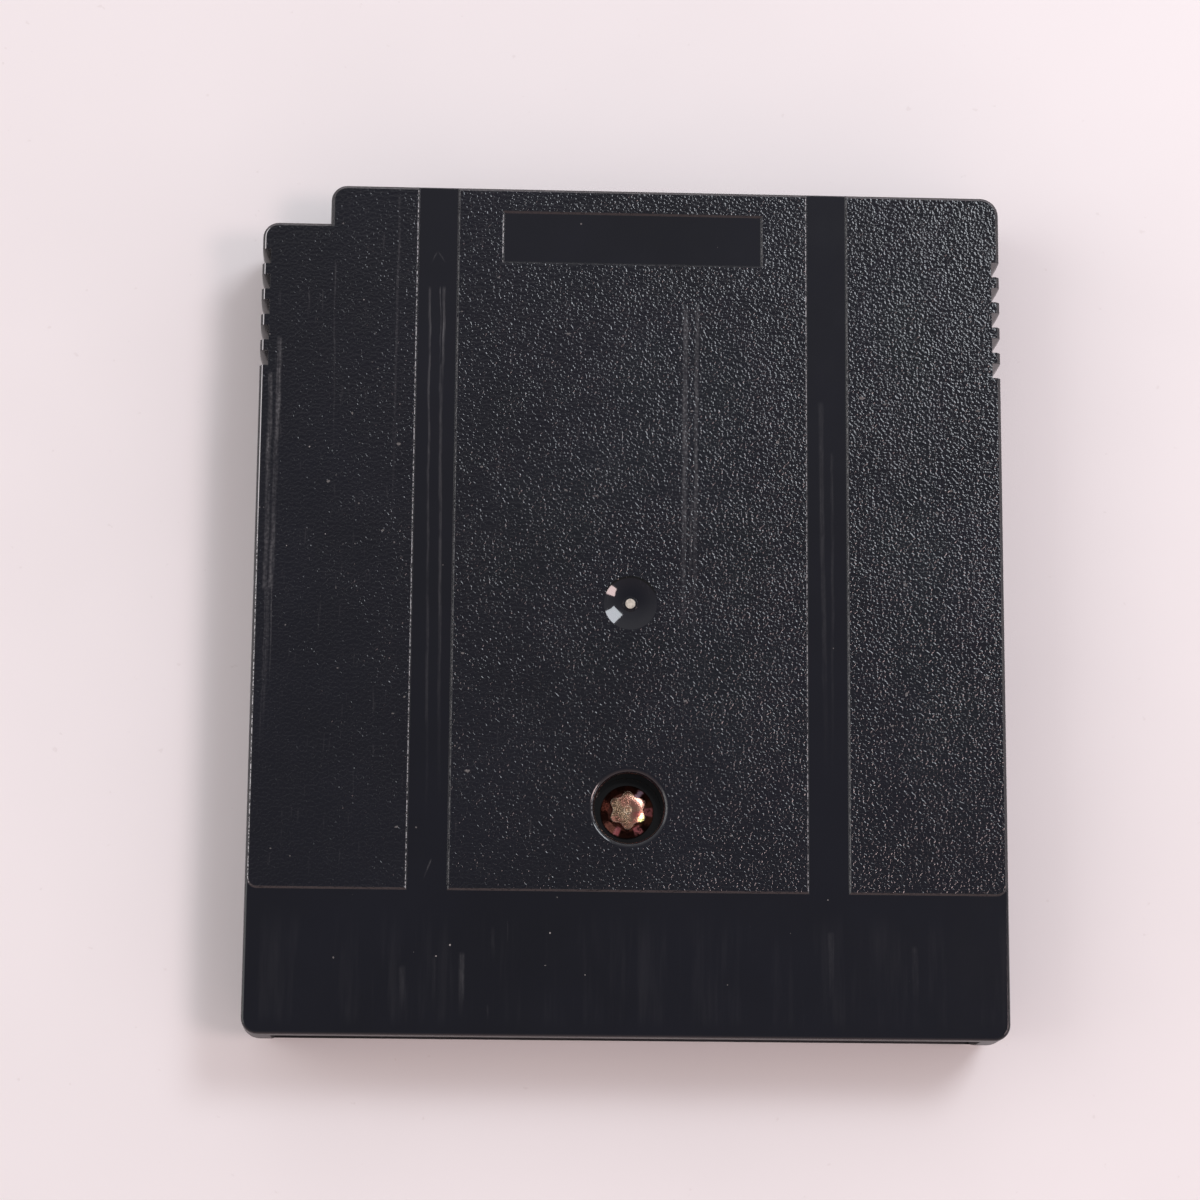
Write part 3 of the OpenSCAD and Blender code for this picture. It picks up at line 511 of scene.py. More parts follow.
def add_softbox(name, place, side, power, colour):
    """A square softbox that faces the cartridge."""
    bpy.ops.object.light_add(type="AREA", location=place, rotation=aim(place, (0, 0, 0)))
    box = bpy.context.object
    box.name = box.data.name = name
    box.data.shape = "SQUARE"
    box.data.size = side
    box.data.energy = power
    box.data.color = colour


def lay_floor(stage):
    """Lays the square table top, faintly mottled and specked."""
    bpy.ops.object.select_all(action="DESELECT")
    bpy.ops.mesh.primitive_plane_add(size=stage.floor_side, location=(0, 0, 0))
    floor = bpy.context.object
    floor.name = "table_top"
    table = Finish("table_top")
    mottle = table.ramp(table.noise(38, 3.0, 0.55), 0.35, 0.7)
    specks = table.ramp(table.noise(1.1, 2.0, 0.6), 0.71, 0.76, 0.0, 0.12)
    pale = table.tint(mottle, stage.floor_colour, shade(stage.floor_colour, 0.97))
    pale = table.tint(specks, pale, stage.speck_colour)
    waves = table.bump(table.noise(6.0, 2.0), 0.01)
    table.dress(floor, base_color=pale, roughness=0.45, normal=waves)


def light_room(scene, stage):
    """Sets the room light: pale low down, dim overhead, warm on the near side."""
    room = scene.world or bpy.data.worlds.new("room")
    scene.world = room
    room.use_nodes = True
    sky = Nodes(room.node_tree)
    _, along, up = sky.parts(sky.node("TexCoord", {}, output="Generated"))
    low = sky.tint(sky.ramp(along, 0.1, -0.7, shape="LINEAR"), stage.horizon, stage.near_wall)
    high = sky.tint(sky.ramp(along, 0.05, 0.6), stage.overhead, stage.far_wall)
    light = sky.tint(sky.math("MULTIPLY", up, up), low, high)
    sky.end_with("OutputWorld", sky.node("Background", {"Color": light}))


class CARTRIDGE_OT_stage(bpy.types.Operator):
    """Lay the pale table top, hang the three softboxes and set the room light"""

    bl_idname = "cartridge.stage"
    bl_label = "Stage"

    def execute(self, context):
        stage = context.scene.cartridge_stage
        lay_floor(stage)
        for name, prefix in SOFTBOXES.items():
            settings = [getattr(stage, f"{prefix}_{part}") for part in SOFTBOX_PARTS]
            add_softbox(name, *settings)
        light_room(context.scene, stage)
        context.scene.view_settings.view_transform = "Standard"
        return {"FINISHED"}


class CARTRIDGE_OT_camera(bpy.types.Operator):
    """Stand the camera where the photograph was taken from"""

    bl_idname = "cartridge.camera"
    bl_label = "Camera"

    def execute(self, context):
        stage = context.scene.cartridge_stage
        axis = Vector(stage.camera_axis)
        bpy.ops.object.camera_add(location=stage.camera_place)
        camera = context.object
        camera.name = camera.data.name = "photo_camera"
        camera.rotation_mode = "AXIS_ANGLE"
        camera.rotation_axis_angle = (axis.length, *axis.normalized())
        camera.data.sensor_width = 36
        camera.data.lens = stage.lens
        camera.data.clip_start = 0.01
        camera.data.clip_end = 20
        context.scene.camera = camera
        return {"FINISHED"}


class CaseFinish(Finish):
    """The case's plastic, with masks for the parts of its surface."""

    def __init__(self, name, case, wear):
        super().__init__(name)
        self.case = case
        self.wear = wear
        self.top = node_span("rear_shell")[1].z
        self.from_dish = self.away(DISH_AXIS)
        self.from_screw = self.away(SCREW_AXIS)
        off_dish = self.ramp(self.from_dish, DISH_R, DISH_R + 0.06)
        off_bore = self.ramp(self.from_screw, BORE_RIM_R - 0.02, BORE_RIM_R + 0.05)
        on_dish = self.ramp(self.from_dish, DISH_R + 0.05, DISH_R)
        on_stub = self.ramp(self.from_dish, STUB_R + 0.01, STUB_R - 0.02)
        front = self.ramp(self.z, 0.06, 0.02)
        self.raised = self.either(self.below_top(PANEL_H - 0.01, PANEL_H - 0.05), front)
        self.grained = self.both(self.raised, off_dish, off_bore)
        self.dish = self.both(self.below_top(0.5, 0.4), on_dish)
        self.stub = self.both(self.below_top(0.13, 0.12), on_stub)
        self.height = self.grain()
        self.round_normal = self.rounded(case.edge_round / MM)

    def below_top(self, start, end):
        """A soft step from one depth below the back to another, in millimetres."""
        return self.ramp(self.z, self.top - start, self.top - end)

    def grain(self):
        """The height of the leather-like grain."""
        size = self.case.grain_size / MM
        lumps = self.ramp(self.noise(size, 1.0, 0.5), 0.34, 0.68)
        return self.math("MULTIPLY_ADD", self.noise(size * 0.4, 1.0, 0.5), 0.18, lumps)

    def rub_marks(self):
        """Where the back has been rubbed, broken up by brushing and by the grain."""
        wavy = self.noise(1.2, 3.0, 0.6, stretch=(1.0, 0.4, 1.0))
        across = self.math("MULTIPLY_ADD", wavy, 0.3, self.math("SUBTRACT", self.x, 0.15))
        rubs = 0.0
        for *line, share in RUB_MARKS:
            rubs = self.math("MAXIMUM", rubs, self.both(self.mark(across, *line), share))
        brushed = self.noise(0.13, 3.0, 0.6, stretch=(1.0, 0.03, 1.0))
        uneven = self.noise(0.5, 4.0, 0.7, stretch=(1.0, 0.3, 1.0))
        return self.both(
            rubs,
            self.ramp(brushed, 0.34, 0.62, 0.45, 1.0),
            self.ramp(uneven, 0.36, 0.6, 0.5, 1.0),
            self.below_top(PANEL_H + 0.05, PANEL_H + 0.01),
            self.blend(self.raised, 1.0, self.ramp(self.height, 0.2, 1.0, 0.45, 1.0)),
        )

    def wiping(self):
        """Faint streaks along the contact end, and a little fuzz on the panels."""
        past_panels = self.ramp(self.y, PANEL_END_Y + 0.2, PANEL_END_Y - 0.2)
        contact_end = self.both(past_panels, self.below_top(0.3, 0.2), 0.055)
        wiped = self.ramp(self.noise(1.4, 4.0, 0.65, stretch=(1.0, 0.07, 1.0)), 0.46, 0.72)
        wiped = self.both(wiped, self.ramp(self.y, -22.5, -26.0), self.ramp(self.y, -31.9, -30.5))
        streaks = self.both(wiped, self.either(contact_end, self.both(self.raised, 0.05)))
        hairs = self.noise(0.3, 2.0, 0.6, stretch=(1.0, 0.1, 1.0))
        return self.either(streaks, self.both(self.raised, self.ramp(hairs, 0.62, 0.78, 0.0, 0.12)))

    def edge_wear_and_sheen(self):
        """Where the sharp edges have gone pale: wear, and partly a painted highlight along the
        edges.
        """
        patches = self.ramp(self.noise(0.4, 2.0, 0.6), 0.42, 0.62)
        return self.both(self.edges(self.round_normal), patches, self.wear.edge_share)

    def painted_rim_highlights(self):
        """Painted highlights: bright lines on the panels' slanted rims, beside the bands and on the
        left side, chosen by the way each rim faces and brighter towards the grip end.
        """
        facing_x, facing_y, _ = self.parts(self.facing())
        rims = self.both(self.below_top(0.09, 0.07), self.below_top(0.01, 0.02))
        by_band = self.ramp(self.math("ABSOLUTE", self.x), BAND_REACH_X + 0.5, BAND_REACH_X)
        left_rim = self.ramp(self.x, -SIDE_RIM_X, -SIDE_RIM_X - 0.4)
        brighter = self.ramp(self.y, 10.0, 32.0, 0.75, 1.0)
        # Rims that face right, left and towards the grips get the painted highlight
        to_right = self.both(self.ramp(facing_x, 0.4, 0.6), by_band, brighter)
        on_left = self.either(self.both(by_band, 0.2), left_rim)
        to_left = self.both(self.ramp(facing_x, -0.4, -0.6), on_left)
        to_grips = self.both(self.ramp(facing_y, 0.4, 0.6), 0.09)
        whole = self.both(left_rim, self.ramp(self.y, 3.0, 8.0))
        broken = self.either(self.ramp(self.noise(0.16, 2.0, 0.6), 0.42, 0.6), whole)
        return self.both(rims, broken, self.either(to_right, to_left, to_grips))

    def lint(self):
        """The scattered specks, and the larger ones that lie in known places."""
        lint = self.both(self.ramp(self.noise(0.42, 0.0), 0.875, 0.89), self.wear.dust_share)
        for x, y, radius in SPECKS:
            lint = self.either(lint, self.ramp(self.away((x, y)), radius, radius * 0.5))
        return lint

    def painted_recess_shade(self):
        """Painted shade: black in the screw's bore, and a dark arc inside the dish's rim."""
        in_bore = self.ramp(self.from_screw, BORE_RIM_R + 0.1, BORE_RIM_R)
        bore = self.both(in_bore, self.below_top(0.2, 0.35))
        arc = self.both(
            self.ramp(self.from_dish, DISH_R - 0.1, DISH_R - 0.04),
            self.ramp(self.from_dish, DISH_R + 0.14, DISH_R + 0.08),
            self.ramp(self.y, 0.5, 1.2),
        )
        return self.either(bore, arc)

    def colour(self, worn):
        """The plastic's colour, with its wear, painted rim highlights, dust, gate stub, and painted
        shade in the bore and the dish's rim.
        """
        base = self.case.plastic
        clouds = self.ramp(self.noise(14.0, 3.0, 0.6), 0.3, 0.7)
        stains = self.ramp(self.noise(0.3, 3.0, 0.7), 0.4, 0.66)
        stub = self.tint(stains, self.case.stub, shade(self.case.stub, 0.62))
        plastic = self.tint(clouds, base, shade(base, 1.35))
        for mask, over in (
            (worn, self.wear.rubbed),
            # painted highlight lines on the slanted rims
            (self.painted_rim_highlights(), self.wear.painted_highlight_colour),
            (self.lint(), self.wear.dust),
            (self.stub, stub),
            # black as painted shade in the bore and inside the dish's rim
            (self.painted_recess_shade(), BLACK),
        ):
            plastic = self.tint(mask, plastic, over)
        return plastic

    def side_walls(self):
        """The outer walls, without the grip notches."""
        walls = self.both(
            self.below_top(0.25, 0.4),
            self.ramp(self.from_screw, BORE_RIM_R, BORE_RIM_R + 0.3),
            self.ramp(self.from_dish, DISH_R + 0.1, DISH_R + 0.3),
        )
        grips = self.both(
            self.ramp(self.math("ABSOLUTE", self.x), GRIP_FLOOR_X - 0.1, GRIP_FLOOR_X + 0.1),
            self.ramp(self.y, GRIP_START_Y - 0.1, GRIP_START_Y + 0.1),
            self.ramp(self.y, GRIP_END_Y + 0.1, GRIP_END_Y - 0.1),
        )
        return self.both(walls, self.unless(grips))

    def gloss(self, worn):
        """The roughness, from the polished dish to the matt walls and the cut stub."""
        case = self.case
        gloss = self.blend(self.grained, case.smooth_gloss, case.grain_gloss)
        gloss = self.blend(self.side_walls(), gloss, case.wall_gloss)
        gloss = self.blend(self.dish, gloss, case.dish_gloss)
        gloss = self.blend(self.stub, gloss, case.stub_gloss)
        smudge = self.ramp(self.noise(6.0, 4.0, 0.6), 0.3, 0.75, -0.02, 0.03)
        gloss = self.math("MULTIPLY_ADD", smudge, self.unless(self.dish), gloss)
        return self.math("MULTIPLY_ADD", worn, 0.25, gloss)

    def grain_strength(self, rubs):
        """How strongly the grain stands up: less where it is rubbed, and less towards the sides."""
        settled = self.both(
            self.ramp(self.x, -28.0, -6.0, 0.78, 1.0),
            self.ramp(self.x, 12.0, 22.0, 1.0, 0.84),
            self.ramp(self.y, -22.0, 4.0, 0.87, 1.0),
        )
        flattened = self.math("MINIMUM", self.math("MULTIPLY", rubs, 1.1), 0.8)
        return self.both(self.grained, settled, self.unless(flattened))

    def surface_normal(self, rubs):
        """The rounded normal, plain on the crisp steps, with the skin and the grain over it."""
        step = self.ramp(self.gap(self.y, PANEL_END_Y), 0.5, 0.4)
        mouth = self.ramp(self.y, MOUTH_Y + 0.3, MOUTH_Y + 0.2)
        crisp = self.both(self.either(step, mouth), self.below_top(0.6, 0.5))
        plain = self.node("NewGeometry", {}, output="Normal")
        feeds = {0: crisp, 4: self.round_normal, 5: plain}
        base = self.node("Mix", feeds, output=1, data_type="VECTOR")
        skin = self.bump(self.noise(0.12, 2.0, 0.6), 0.0006, normal=base)
        patchy = self.ramp(self.noise(3.0, 3.0, 0.6), 0.3, 0.7, 0.9, 1.08)
        height = self.math("MULTIPLY", self.height, patchy)
        return self.bump(height, self.case.grain_depth / MM, self.grain_strength(rubs), normal=skin)


class CARTRIDGE_OT_case(bpy.types.Operator):
    """Give the two shells their grained black plastic with rubs, pale edges that are partly painted
    highlight, painted highlight lines on the rims and painted shade in the bore and the dish's rim
    """

    bl_idname = "cartridge.case"
    bl_label = "Case"

    def execute(self, context):
        case = context.scene.cartridge_case
        f = CaseFinish("case_plastic", case, context.scene.cartridge_wear)
        rubs = f.rub_marks()
        # worn holds the rubs, the wiping and the pale edges, which are partly painted edge
        # highlight
        worn = f.either(rubs, f.wiping(), f.edge_wear_and_sheen())
        normal = f.surface_normal(rubs)
        colour, gloss = f.colour(worn), f.gloss(worn)
        f.dress(*SHELLS, base_color=colour, roughness=gloss, normal=normal, ior=case.ior)
        return {"FINISHED"}


class ScrewFinish(Finish):
    """The screw's zinc, with masks for its head, flange and rim, and for the painted light on the
    rim and the flange.
    """

    def __init__(self, name, screw):
        super().__init__(name)
        self.screw = screw
        self.across = self.math("SUBTRACT", self.x, SCREW_AXIS[0])
        self.along = self.math("SUBTRACT", self.y, SCREW_AXIS[1])
        self.radius = self.away(SCREW_AXIS)
        head_foot = node_span("shell_screw")[1].z - SCREW_HEAD_H
        self.on_head = self.ramp(self.z, head_foot - 0.1, head_foot)
        self.round_normal = self.rounded(SCREW_ROUND)
        self.rim = self.both(self.edges(self.round_normal), self.on_head)
        # The head's edges, which get a painted highlight
        self.scribble = self.both(
            self.ramp(self.noise(0.16, 3.0, 0.7), 0.44, 0.56),
            self.ramp(self.across, 0.35, -0.25),
            self.ramp(self.radius, SCREW_HEAD_R, SCREW_HEAD_R - 0.15),
        )
        self.patches = self.painted_lit_patches()

    def painted_lit_patches(self):
        """Painted light: bright patches on the flange, at the valleys between the lobes on the side
        that faces the key light.
        """
        heading = self.math("ARCTAN2", self.along, self.across)
        lobes = self.math("COSINE", self.math("MULTIPLY", heading, SCREW_LOBES))
        to_right = self.math("MULTIPLY", self.across, 0.866)
        sunny = self.math("MULTIPLY_ADD", self.along, -0.5, to_right)
        return self.both(
            self.ramp(lobes, 0.2, 0.7),
            self.ramp(sunny, -0.2, 0.05),
            self.ramp(self.radius, SCREW_HEAD_R - 0.05, SCREW_HEAD_R + 0.05),
            self.ramp(self.radius, 2.0, 1.85),
            self.ramp(self.noise(0.4, 3.0, 0.6), 0.3, 0.5),
        )

    def head(self):
        """The head's gold, with pink, red and green shifts and dark drive marks."""
        screw = self.screw
        pinkish = self.ramp(self.noise(0.9, 3.0, 0.6), 0.4, 0.62, 0.0, 0.65)
        red_spot = self.ramp(self.away(SCREW_RED_SPOT), 0.7, 0.15)
        reddish = self.both(red_spot, self.ramp(self.noise(0.3, 3.0, 0.6), 0.3, 0.55))
        head = self.tint(self.either(pinkish, reddish), screw.gold, screw.pink)
        head = self.tint(self.ramp(self.away(SCREW_GREEN_SPOT), 0.4, 0.1), head, screw.olive)
        return self.tint(self.both(self.scribble, 0.85), head, screw.scribble)

    def flange(self):
        """The flange's dark red zinc, painted darker as shade from the bore, with its painted lit
        patches in red and one in pink.
        """
        dull = self.ramp(self.noise(0.5, 3.0, 0.6), 0.4, 0.65)
        flange = self.tint(dull, self.screw.flange, self.screw.dull)
        # painted light on the valleys between the lobes
        flange = self.tint(self.patches, flange, self.screw.valleys)
        pink = self.both(self.patches, self.ramp(self.away(SCREW_PINK_SPOT), 0.55, 0.35))
        return self.tint(pink, flange, self.screw.pale_valley)


class CARTRIDGE_OT_screw(bpy.types.Operator):
    """Give the screw its yellow zinc, which shifts from gold to pink and green, with painted
    highlights on the rim, painted light in the flange's patches and painted shade over the flange
    """

    bl_idname = "cartridge.screw"
    bl_label = "Screw"

    def execute(self, context):
        screw = context.scene.cartridge_screw
        f = ScrewFinish("yellow_zinc", screw)
        zinc = f.tint(f.on_head, f.flange(), f.head())
        # Painted highlight along the head's rim
        zinc = f.tint(f.both(f.rim, 0.9), zinc, screw.rim)
        lit_flange_patches = f.both(f.patches, f.unless(f.on_head))
        # The painted rim highlight and the lit flange patches are left mostly without metal
        metallic_share = f.unless(f.both(f.either(f.rim, lit_flange_patches), 0.85))
        scale = f.math("MULTIPLY_ADD", f.scribble, 0.8, f.noise(0.16, 3.0, 0.6))
        gloss = f.blend(f.scribble, screw.gloss, screw.gloss + 0.16)
        normal = f.bump(scale, 0.01, normal=f.round_normal)
        f.dress("shell_screw", base_color=zinc, metallic=metallic_share, roughness=gloss, normal=normal)
        return {"FINISHED"}


def printed_fields(f, label, low, high):
    """The label's print: a field that changes colour along it, and two stripes."""
    depth = f.ramp(f.y, high.y - 4, low.y + 4)
    wave = f.noise(9.0, 2.0, 0.4, stretch=(0.35, 1.0, 1.0))
    depth = f.math("ADD", depth, f.ramp(wave, 0.3, 0.7, -0.18, 0.18))
    fields = f.tint(depth, label.lower, label.upper)
    stripe_y = low.y + (high.y - low.y) * STRIPE_SHARE
    stripe = f.ramp(f.gap(f.y, stripe_y), STRIPE_HALF, STRIPE_HALF - 0.1)
    fields = f.tint(stripe, fields, label.stripe)
    from_thin = f.gap(f.y, stripe_y + THIN_STRIPE_AWAY)
    thin = f.ramp(from_thin, THIN_STRIPE_HALF, THIN_STRIPE_HALF - 0.08)
    fields = f.tint(thin, fields, label.paper)
    dots = f.ramp(f.noise(0.15, 1.0), 0.45, 0.6, 0.0, 0.18)
    return f.tint(dots, fields, label.paper)


class CARTRIDGE_OT_label(bpy.types.Operator):
    """Print the front label with plain fields of colour, and give it its film"""

    bl_idname = "cartridge.label"
    bl_label = "Label"

    def execute(self, context):
        label = context.scene.cartridge_label
        low, high = node_span("front_label")
        f = Finish("label_film")
        inset = f.outside_box(low, high)
        field = f.ramp(inset, 0.1 - LABEL_BORDER, -LABEL_BORDER)
        yellowed = f.ramp(f.noise(5.0, 4.0, 0.6), 0.45, 0.8)
        paper = f.tint(yellowed, label.paper, shade(label.paper, 0.8))
        surface = f.tint(field, paper, printed_fields(f, label, low, high))
        scuffs = f.ramp(f.noise(0.8, 3.0, 0.7), 0.45, 0.65, 0.0, 0.6)
        scuffed = f.both(f.ramp(inset, -0.5, -0.05), scuffs)
        surface = f.tint(scuffed, surface, label.scuffed)
        rub = f.ramp(f.noise(0.5, 4.0, 0.7, stretch=(1.0, 0.06, 1.0)), 0.6, 0.75, 0.0, 0.2)
        surface = f.tint(rub, surface, label.rubbed)
        gloss = f.ramp(f.noise(3.0, 3.0, 0.6), 0.3, 0.7, 0.24, 0.36)
        normal = f.bump(f.noise(0.6, 3.0, 0.5), 0.004, normal=f.rounded(0.04))
        looks = {"base_color": surface, "roughness": gloss, "coat_weight": label.coat}
        f.dress("front_label", normal=normal, **looks)
        return {"FINISHED"}


def board_tracks(f):
    """The tracks under the lacquer: runs both ways, and a fan that leads to the contacts."""
    bricks = {
        "Vector": f.mm,
        "Scale": 1.0,
        "Mortar Size": TRACK_W,
        "Mortar Smooth": 0.2,
        "Brick Width": TRACK_RUN,
        "Row Height": TRACK_PITCH,
    }
    runs = f.node("TexBrick", bricks, output="Fac")
    turned = f.node("Mapping", {"Vector": f.mm, "Rotation": (0, 0, math.radians(90))})
    cross = f.node("TexBrick", {**bricks, "Vector": turned}, output="Fac")
    tracks = f.blend(f.ramp(f.noise(7.0, 1.0), 0.48, 0.52), runs, cross)
    fingers = f.math("PINGPONG", f.x, CONTACT_PITCH / 2)
    fan = f.both(f.ramp(fingers, 0.2, 0.14), f.ramp(f.y, FAN_Y, FAN_Y - 1.0))
    return f.either(f.both(tracks, f.ramp(f.y, FAN_Y - 1.0, FAN_Y)), fan)


def chip_outlines(f):
    """The printed outline around each chip."""
    outlines = 0.0
    for chip in CHIPS:
        from_line = f.gap(f.outside_box(*node_span(chip)), OUTLINE_GAP)
        outlines = f.math("MAXIMUM", outlines, f.ramp(from_line, 0.11, 0.07))
    return outlines


def lacquer_board(board):
    """Gives the circuit board its lacquer, over the tracks, and its cut glass edge."""
    f = Finish("board_laminate")
    flat = f.ramp(f.math("ABSOLUTE", f.parts(f.facing())[2]), 0.5, 0.7)
    tracks = board_tracks(f)
    lacquer = f.tint(tracks, board.mask, board.copper)
    from_via = f.cells(VIA_PITCH)
    lacquer = f.tint(f.ramp(from_via, VIA_R, VIA_R - 0.02), lacquer, board.via)
    lacquer = f.tint(f.ramp(from_via, VIA_HOLE_R, VIA_HOLE_R - 0.01), lacquer, board.hole)
    lacquer = f.tint(chip_outlines(f), lacquer, board.silk)
    glass = f.ramp(f.noise(0.5, 2.0, 0.6, stretch=(1.0, 1.0, 6.0)), 0.4, 0.62)
    edge = f.tint(glass, board.laminate, shade(board.laminate, 0.6))
    surface = f.tint(flat, edge, lacquer)
    weave = f.node("TexChecker", {"Vector": f.mm, "Scale": 2.2}, output="Fac")
    height = f.math("MULTIPLY_ADD", weave, 0.15, tracks)
    gloss = f.blend(flat, 0.65, f.ramp(f.noise(2.5, 3.0, 0.6), 0.3, 0.7, 0.22, 0.34))
    f.dress("circuit_board", base_color=surface, roughness=gloss, normal=f.bump(height, 0.02))


def gild_contacts(board):
    """Gives the edge contacts their gold, wiped lengthwise and worn at the tips."""
    f = Finish("contact_gold")
    wiped = f.ramp(f.noise(0.12, 3.0, 0.65, stretch=(1.0, 0.05, 1.0)), 0.5, 0.68)
    gold = f.tint(wiped, board.gold, shade(board.gold, 0.62))
    tips = f.ramp(f.y, CONTACT_WORN_Y, CONTACT_TIP_Y)
    worn = f.both(tips, f.ramp(f.noise(0.4, 3.0, 0.6), 0.4, 0.6), 0.7)
    gold = f.tint(worn, gold, board.worn)
    tarnish = f.ramp(f.noise(1.4, 4.0, 0.6), 0.5, 0.75, 0.0, 0.4)
    gold = f.tint(tarnish, gold, board.tarnish)
    gloss = f.blend(wiped, 0.38, 0.52)
    normal = f.bump(wiped, 0.002)
    f.dress("edge_contacts", base_color=gold, metallic=0.8, roughness=gloss, normal=normal)


class CARTRIDGE_OT_board(bpy.types.Operator):
    """Lacquer the circuit board over its tracks, and gild its edge contacts"""

    bl_idname = "cartridge.board"
    bl_label = "Board and contacts"

    def execute(self, context):
        board = context.scene.cartridge_board
        lacquer_board(board)
        gild_contacts(board)
        return {"FINISHED"}


def mould_chips(parts):
    """Gives the chips and the diode their epoxy, and the diode its cathode band."""
    f = Finish("chip_epoxy")
    filler = f.noise(0.09, 3.0, 0.7)
    body = f.tint(f.ramp(filler, 0.45, 0.7), parts.epoxy, shade(parts.epoxy, 2.4))
    flow = f.ramp(f.noise(2.6, 3.0, 0.5), 0.35, 0.7, 0.0, 0.4)
    body = f.tint(flow, body, shade(parts.epoxy, 1.6))
    low, high = node_span("blocking_diode")
    from_middle = f.math("SUBTRACT", f.x, (low.x + high.x) / 2)
    cathode = f.both(
        f.ramp(f.outside_box(low, high), 0.1, 0.05),
        f.ramp(from_middle, CATHODE_START - 0.05, CATHODE_START),
        f.ramp(from_middle, CATHODE_END + 0.05, CATHODE_END),
    )
    body = f.tint(cathode, body, parts.cathode)
    gloss = f.ramp(filler, 0.3, 0.7, 0.42, 0.58)
    normal = f.bump(filler, 0.01, normal=f.rounded(0.05))
    f.dress(*CHIPS, "blocking_diode", base_color=body, roughness=gloss, normal=normal)


def tin_leads(parts):
    """Tins the leads, and brightens their soldered feet."""
    f = Finish("tinned_lead")
    board_top = node_span("circuit_board")[1].z
    soldered = f.ramp(f.z, board_top + SOLDER_END_H, board_top + SOLDER_H)
    spangle = f.cells(0.35, output="Color", feature="F1")
    tin = f.tint(0.25, parts.tin, spangle)
    greyed = f.ramp(f.noise(0.5, 3.0, 0.6), 0.45, 0.7, 0.0, 0.5)
    tin = f.tint(greyed, tin, shade(parts.tin, 0.6))
    tin = f.tint(f.both(soldered, 0.35), tin, parts.solder)
    gloss = f.blend(soldered, 0.34, 0.2)
    normal = f.bump(f.noise(0.12, 3.0, 0.6), 0.008, normal=f.rounded(0.04))
    f.dress(*LEADS, base_color=tin, metallic=1.0, roughness=gloss, normal=normal)


class CARTRIDGE_OT_chips(bpy.types.Operator):
    """Mould the chips and the diode in matt epoxy, and tin their leads"""

    bl_idname = "cartridge.chips"
    bl_label = "Chips and leads"

    def execute(self, context):
        parts = context.scene.cartridge_parts
        mould_chips(parts)
        tin_leads(parts)
        return {"FINISHED"}


def turn_cell(parts):
    """Gives the backup cell its turned steel, its smudges and its dark gasket."""
    low, high = node_span("backup_cell")
    f = Finish("cell_steel")
    radius = f.away(((low.x + high.x) / 2, (low.y + high.y) / 2))
    rings = f.node("CombineXYZ", {"X": radius, "Y": 0.0, "Z": f.z})
    turned = f.noise(0.12, 4.0, 0.7, vector=rings)
    steel = f.tint(f.ramp(turned, 0.35, 0.7), parts.steel, shade(parts.steel, 0.7))
    smudges = f.ramp(f.noise(2.8, 4.0, 0.6), 0.5, 0.75, 0.0, 0.35)
    steel = f.tint(smudges, steel, parts.smudge)
    foot, top = low.z + GASKET_FOOT_H, low.z + GASKET_TOP_H
    gasket = f.both(
        f.ramp(f.z, foot - 0.02, foot),
        f.ramp(f.z, top + 0.02, top),
        f.ramp(radius, GASKET_R - 0.1, GASKET_R),
    )
    steel = f.tint(gasket, steel, parts.gasket)
    gloss = f.math("ADD", f.ramp(turned, 0.3, 0.7, 0.2, 0.32), f.both(smudges, 0.3))
    normal = f.bump(turned, 0.004, normal=f.rounded(0.08))
    f.dress("backup_cell", base_color=steel, metallic=1.0, roughness=gloss, normal=normal)


def plate_tabs(parts):
    """Gives the cell's two tabs their rolled nickel and their weld spots."""
    low, high = node_span("backup_cell")
    weld_y = (low.y + high.y) / 2 - WELD_AWAY
    f = Finish("tab_nickel")
    rolled = f.noise(0.08, 3.0, 0.7, stretch=(1.0, 0.04, 1.0))
    nickel = f.tint(f.ramp(rolled, 0.35, 0.7), parts.steel, shade(parts.steel, 0.72))
    welds = 0.0
    for tab in TABS:
        start, end = node_span(tab)
        first_x = (start.x + end.x - (parts.tab_welds - 1) * WELD_PITCH) / 2
        for i in range(parts.tab_welds):
            from_spot = f.away((first_x + i * WELD_PITCH, weld_y))
            welds = f.math("MAXIMUM", welds, f.ramp(from_spot, WELD_R, WELD_R - 0.12))
    nickel = f.tint(f.both(welds, 0.7), nickel, parts.weld)
    gloss = f.blend(welds, f.ramp(rolled, 0.3, 0.7, 0.24, 0.36), 0.55)
    dents = f.math("SUBTRACT", f.both(rolled, 0.1), welds)
    f.dress(*TABS, base_color=nickel, metallic=1.0, roughness=gloss, normal=f.bump(dents, 0.03))


class CARTRIDGE_OT_cell(bpy.types.Operator):
    """Finish the backup cell and its two welded tabs in nickel-plated steel"""

    bl_idname = "cartridge.cell"
    bl_label = "Backup cell and tabs"

    def execute(self, context):
        parts = context.scene.cartridge_parts
        turn_cell(parts)
        plate_tabs(parts)
        return {"FINISHED"}


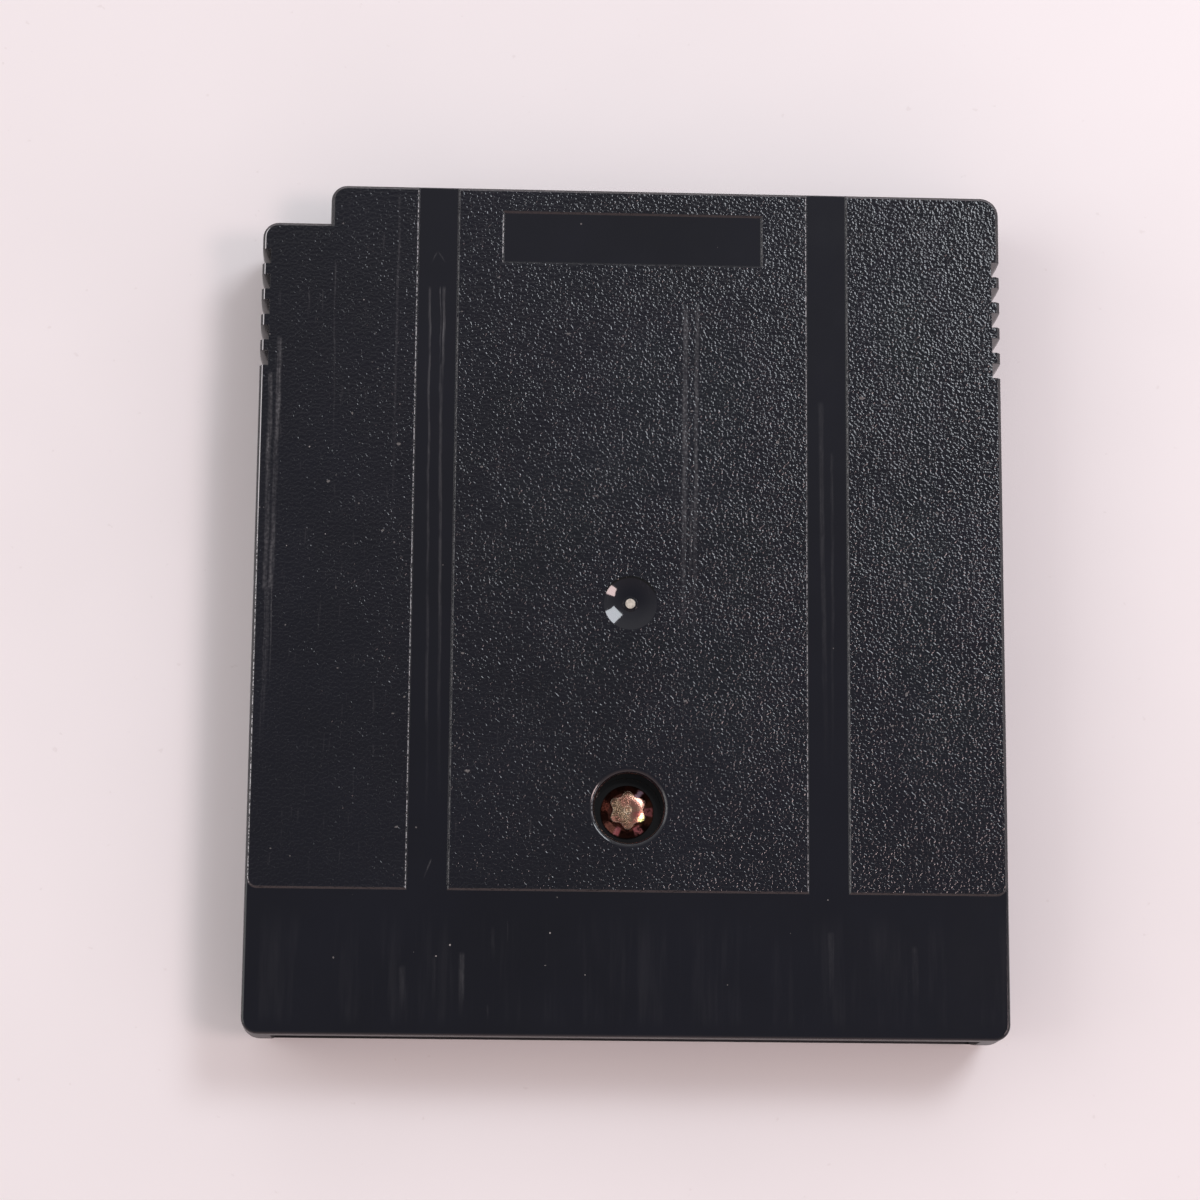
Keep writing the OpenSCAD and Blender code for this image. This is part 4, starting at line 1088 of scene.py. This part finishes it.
def finish_row_parts(name, node, body_colour, parts):
    """Gives the capacitors or the resistors their bodies and their tinned ends."""
    low, high = node_span("chip_resistors")
    inner_y = (low.y + high.y) / 2
    outer_y = node_span("ceramic_capacitors")[0].y + SMALL_PART_REACH
    f = Finish(name)
    along = f.math("MINIMUM", f.gap(f.y, inner_y), f.gap(f.y, outer_y))
    ragged = f.math("MULTIPLY_ADD", f.noise(0.3, 2.0), 0.08, along)
    capped = f.ramp(ragged, CAP_START, CAP_START + 0.03)
    speckle = f.ramp(f.noise(0.1, 3.0, 0.7), 0.4, 0.7)
    body = f.tint(speckle, body_colour, shade(body_colour, 0.75))
    if node == "chip_resistors":
        upward = f.ramp(f.parts(f.facing())[2], 0.6, 0.8)
        body = f.tint(upward, body, parts.glaze)
    greyed = f.ramp(f.noise(0.3, 3.0, 0.6), 0.4, 0.7)
    tin = f.tint(greyed, parts.tin, shade(parts.tin, 0.65))
    colour = f.tint(capped, body, tin)
    gloss = f.blend(capped, 0.38, 0.26)
    normal = f.bump(speckle, 0.006, normal=f.rounded(0.05))
    f.dress(node, base_color=colour, metallic=capped, roughness=gloss, normal=normal)


class CARTRIDGE_OT_small_parts(bpy.types.Operator):
    """Finish the ceramic capacitors and the glazed chip resistors, with tinned ends"""

    bl_idname = "cartridge.small_parts"
    bl_label = "Capacitors and resistors"

    def execute(self, context):
        parts = context.scene.cartridge_parts
        finish_row_parts("capacitor_ceramic", "ceramic_capacitors", parts.ceramic, parts)
        finish_row_parts("resistor_glaze", "chip_resistors", parts.white, parts)
        return {"FINISHED"}


class CARTRIDGE_PT_finishes(bpy.types.Panel):
    """Lists the steps that dress the cartridge"""

    bl_idname = "CARTRIDGE_PT_finishes"
    bl_label = "Cartridge finishes"
    bl_space_type = "VIEW_3D"
    bl_region_type = "UI"
    bl_category = "Cartridge"

    def draw(self, context):
        column = self.layout.column(align=True)
        for operator in OPERATORS:
            column.operator(operator.bl_idname)
        for name in SETTINGS:
            box = self.layout.box()
            settings = getattr(context.scene, name)
            for prop in settings.bl_rna.properties:
                if prop.identifier not in ("rna_type", "name"):
                    box.prop(settings, prop.identifier)


OPERATORS = (
    CARTRIDGE_OT_stage,
    CARTRIDGE_OT_camera,
    CARTRIDGE_OT_case,
    CARTRIDGE_OT_screw,
    CARTRIDGE_OT_label,
    CARTRIDGE_OT_board,
    CARTRIDGE_OT_chips,
    CARTRIDGE_OT_cell,
    CARTRIDGE_OT_small_parts,
)
SETTINGS = {
    "cartridge_stage": CartridgeStage,
    "cartridge_case": CartridgeCase,
    "cartridge_wear": CartridgeWear,
    "cartridge_screw": CartridgeScrew,
    "cartridge_label": CartridgeLabel,
    "cartridge_board": CartridgeBoard,
    "cartridge_parts": CartridgeParts,
}


def register():
    """Makes the settings, steps and panel known to Blender."""
    for group in SETTINGS.values():
        bpy.utils.register_class(group)
    for name, group in SETTINGS.items():
        setattr(bpy.types.Scene, name, PointerProperty(type=group))
    for operator in OPERATORS:
        bpy.utils.register_class(operator)
    bpy.utils.register_class(CARTRIDGE_PT_finishes)


def unregister():
    """Takes them away again."""
    bpy.utils.unregister_class(CARTRIDGE_PT_finishes)
    for operator in reversed(OPERATORS):
        bpy.utils.unregister_class(operator)
    for name, group in SETTINGS.items():
        delattr(bpy.types.Scene, name)
        bpy.utils.unregister_class(group)


def main():
    """Runs every step in order."""
    register()
    for operator in OPERATORS:
        step = operator.bl_idname.split(".")[1]
        getattr(bpy.ops.cartridge, step)()


if __name__ == "__main__":
    main()
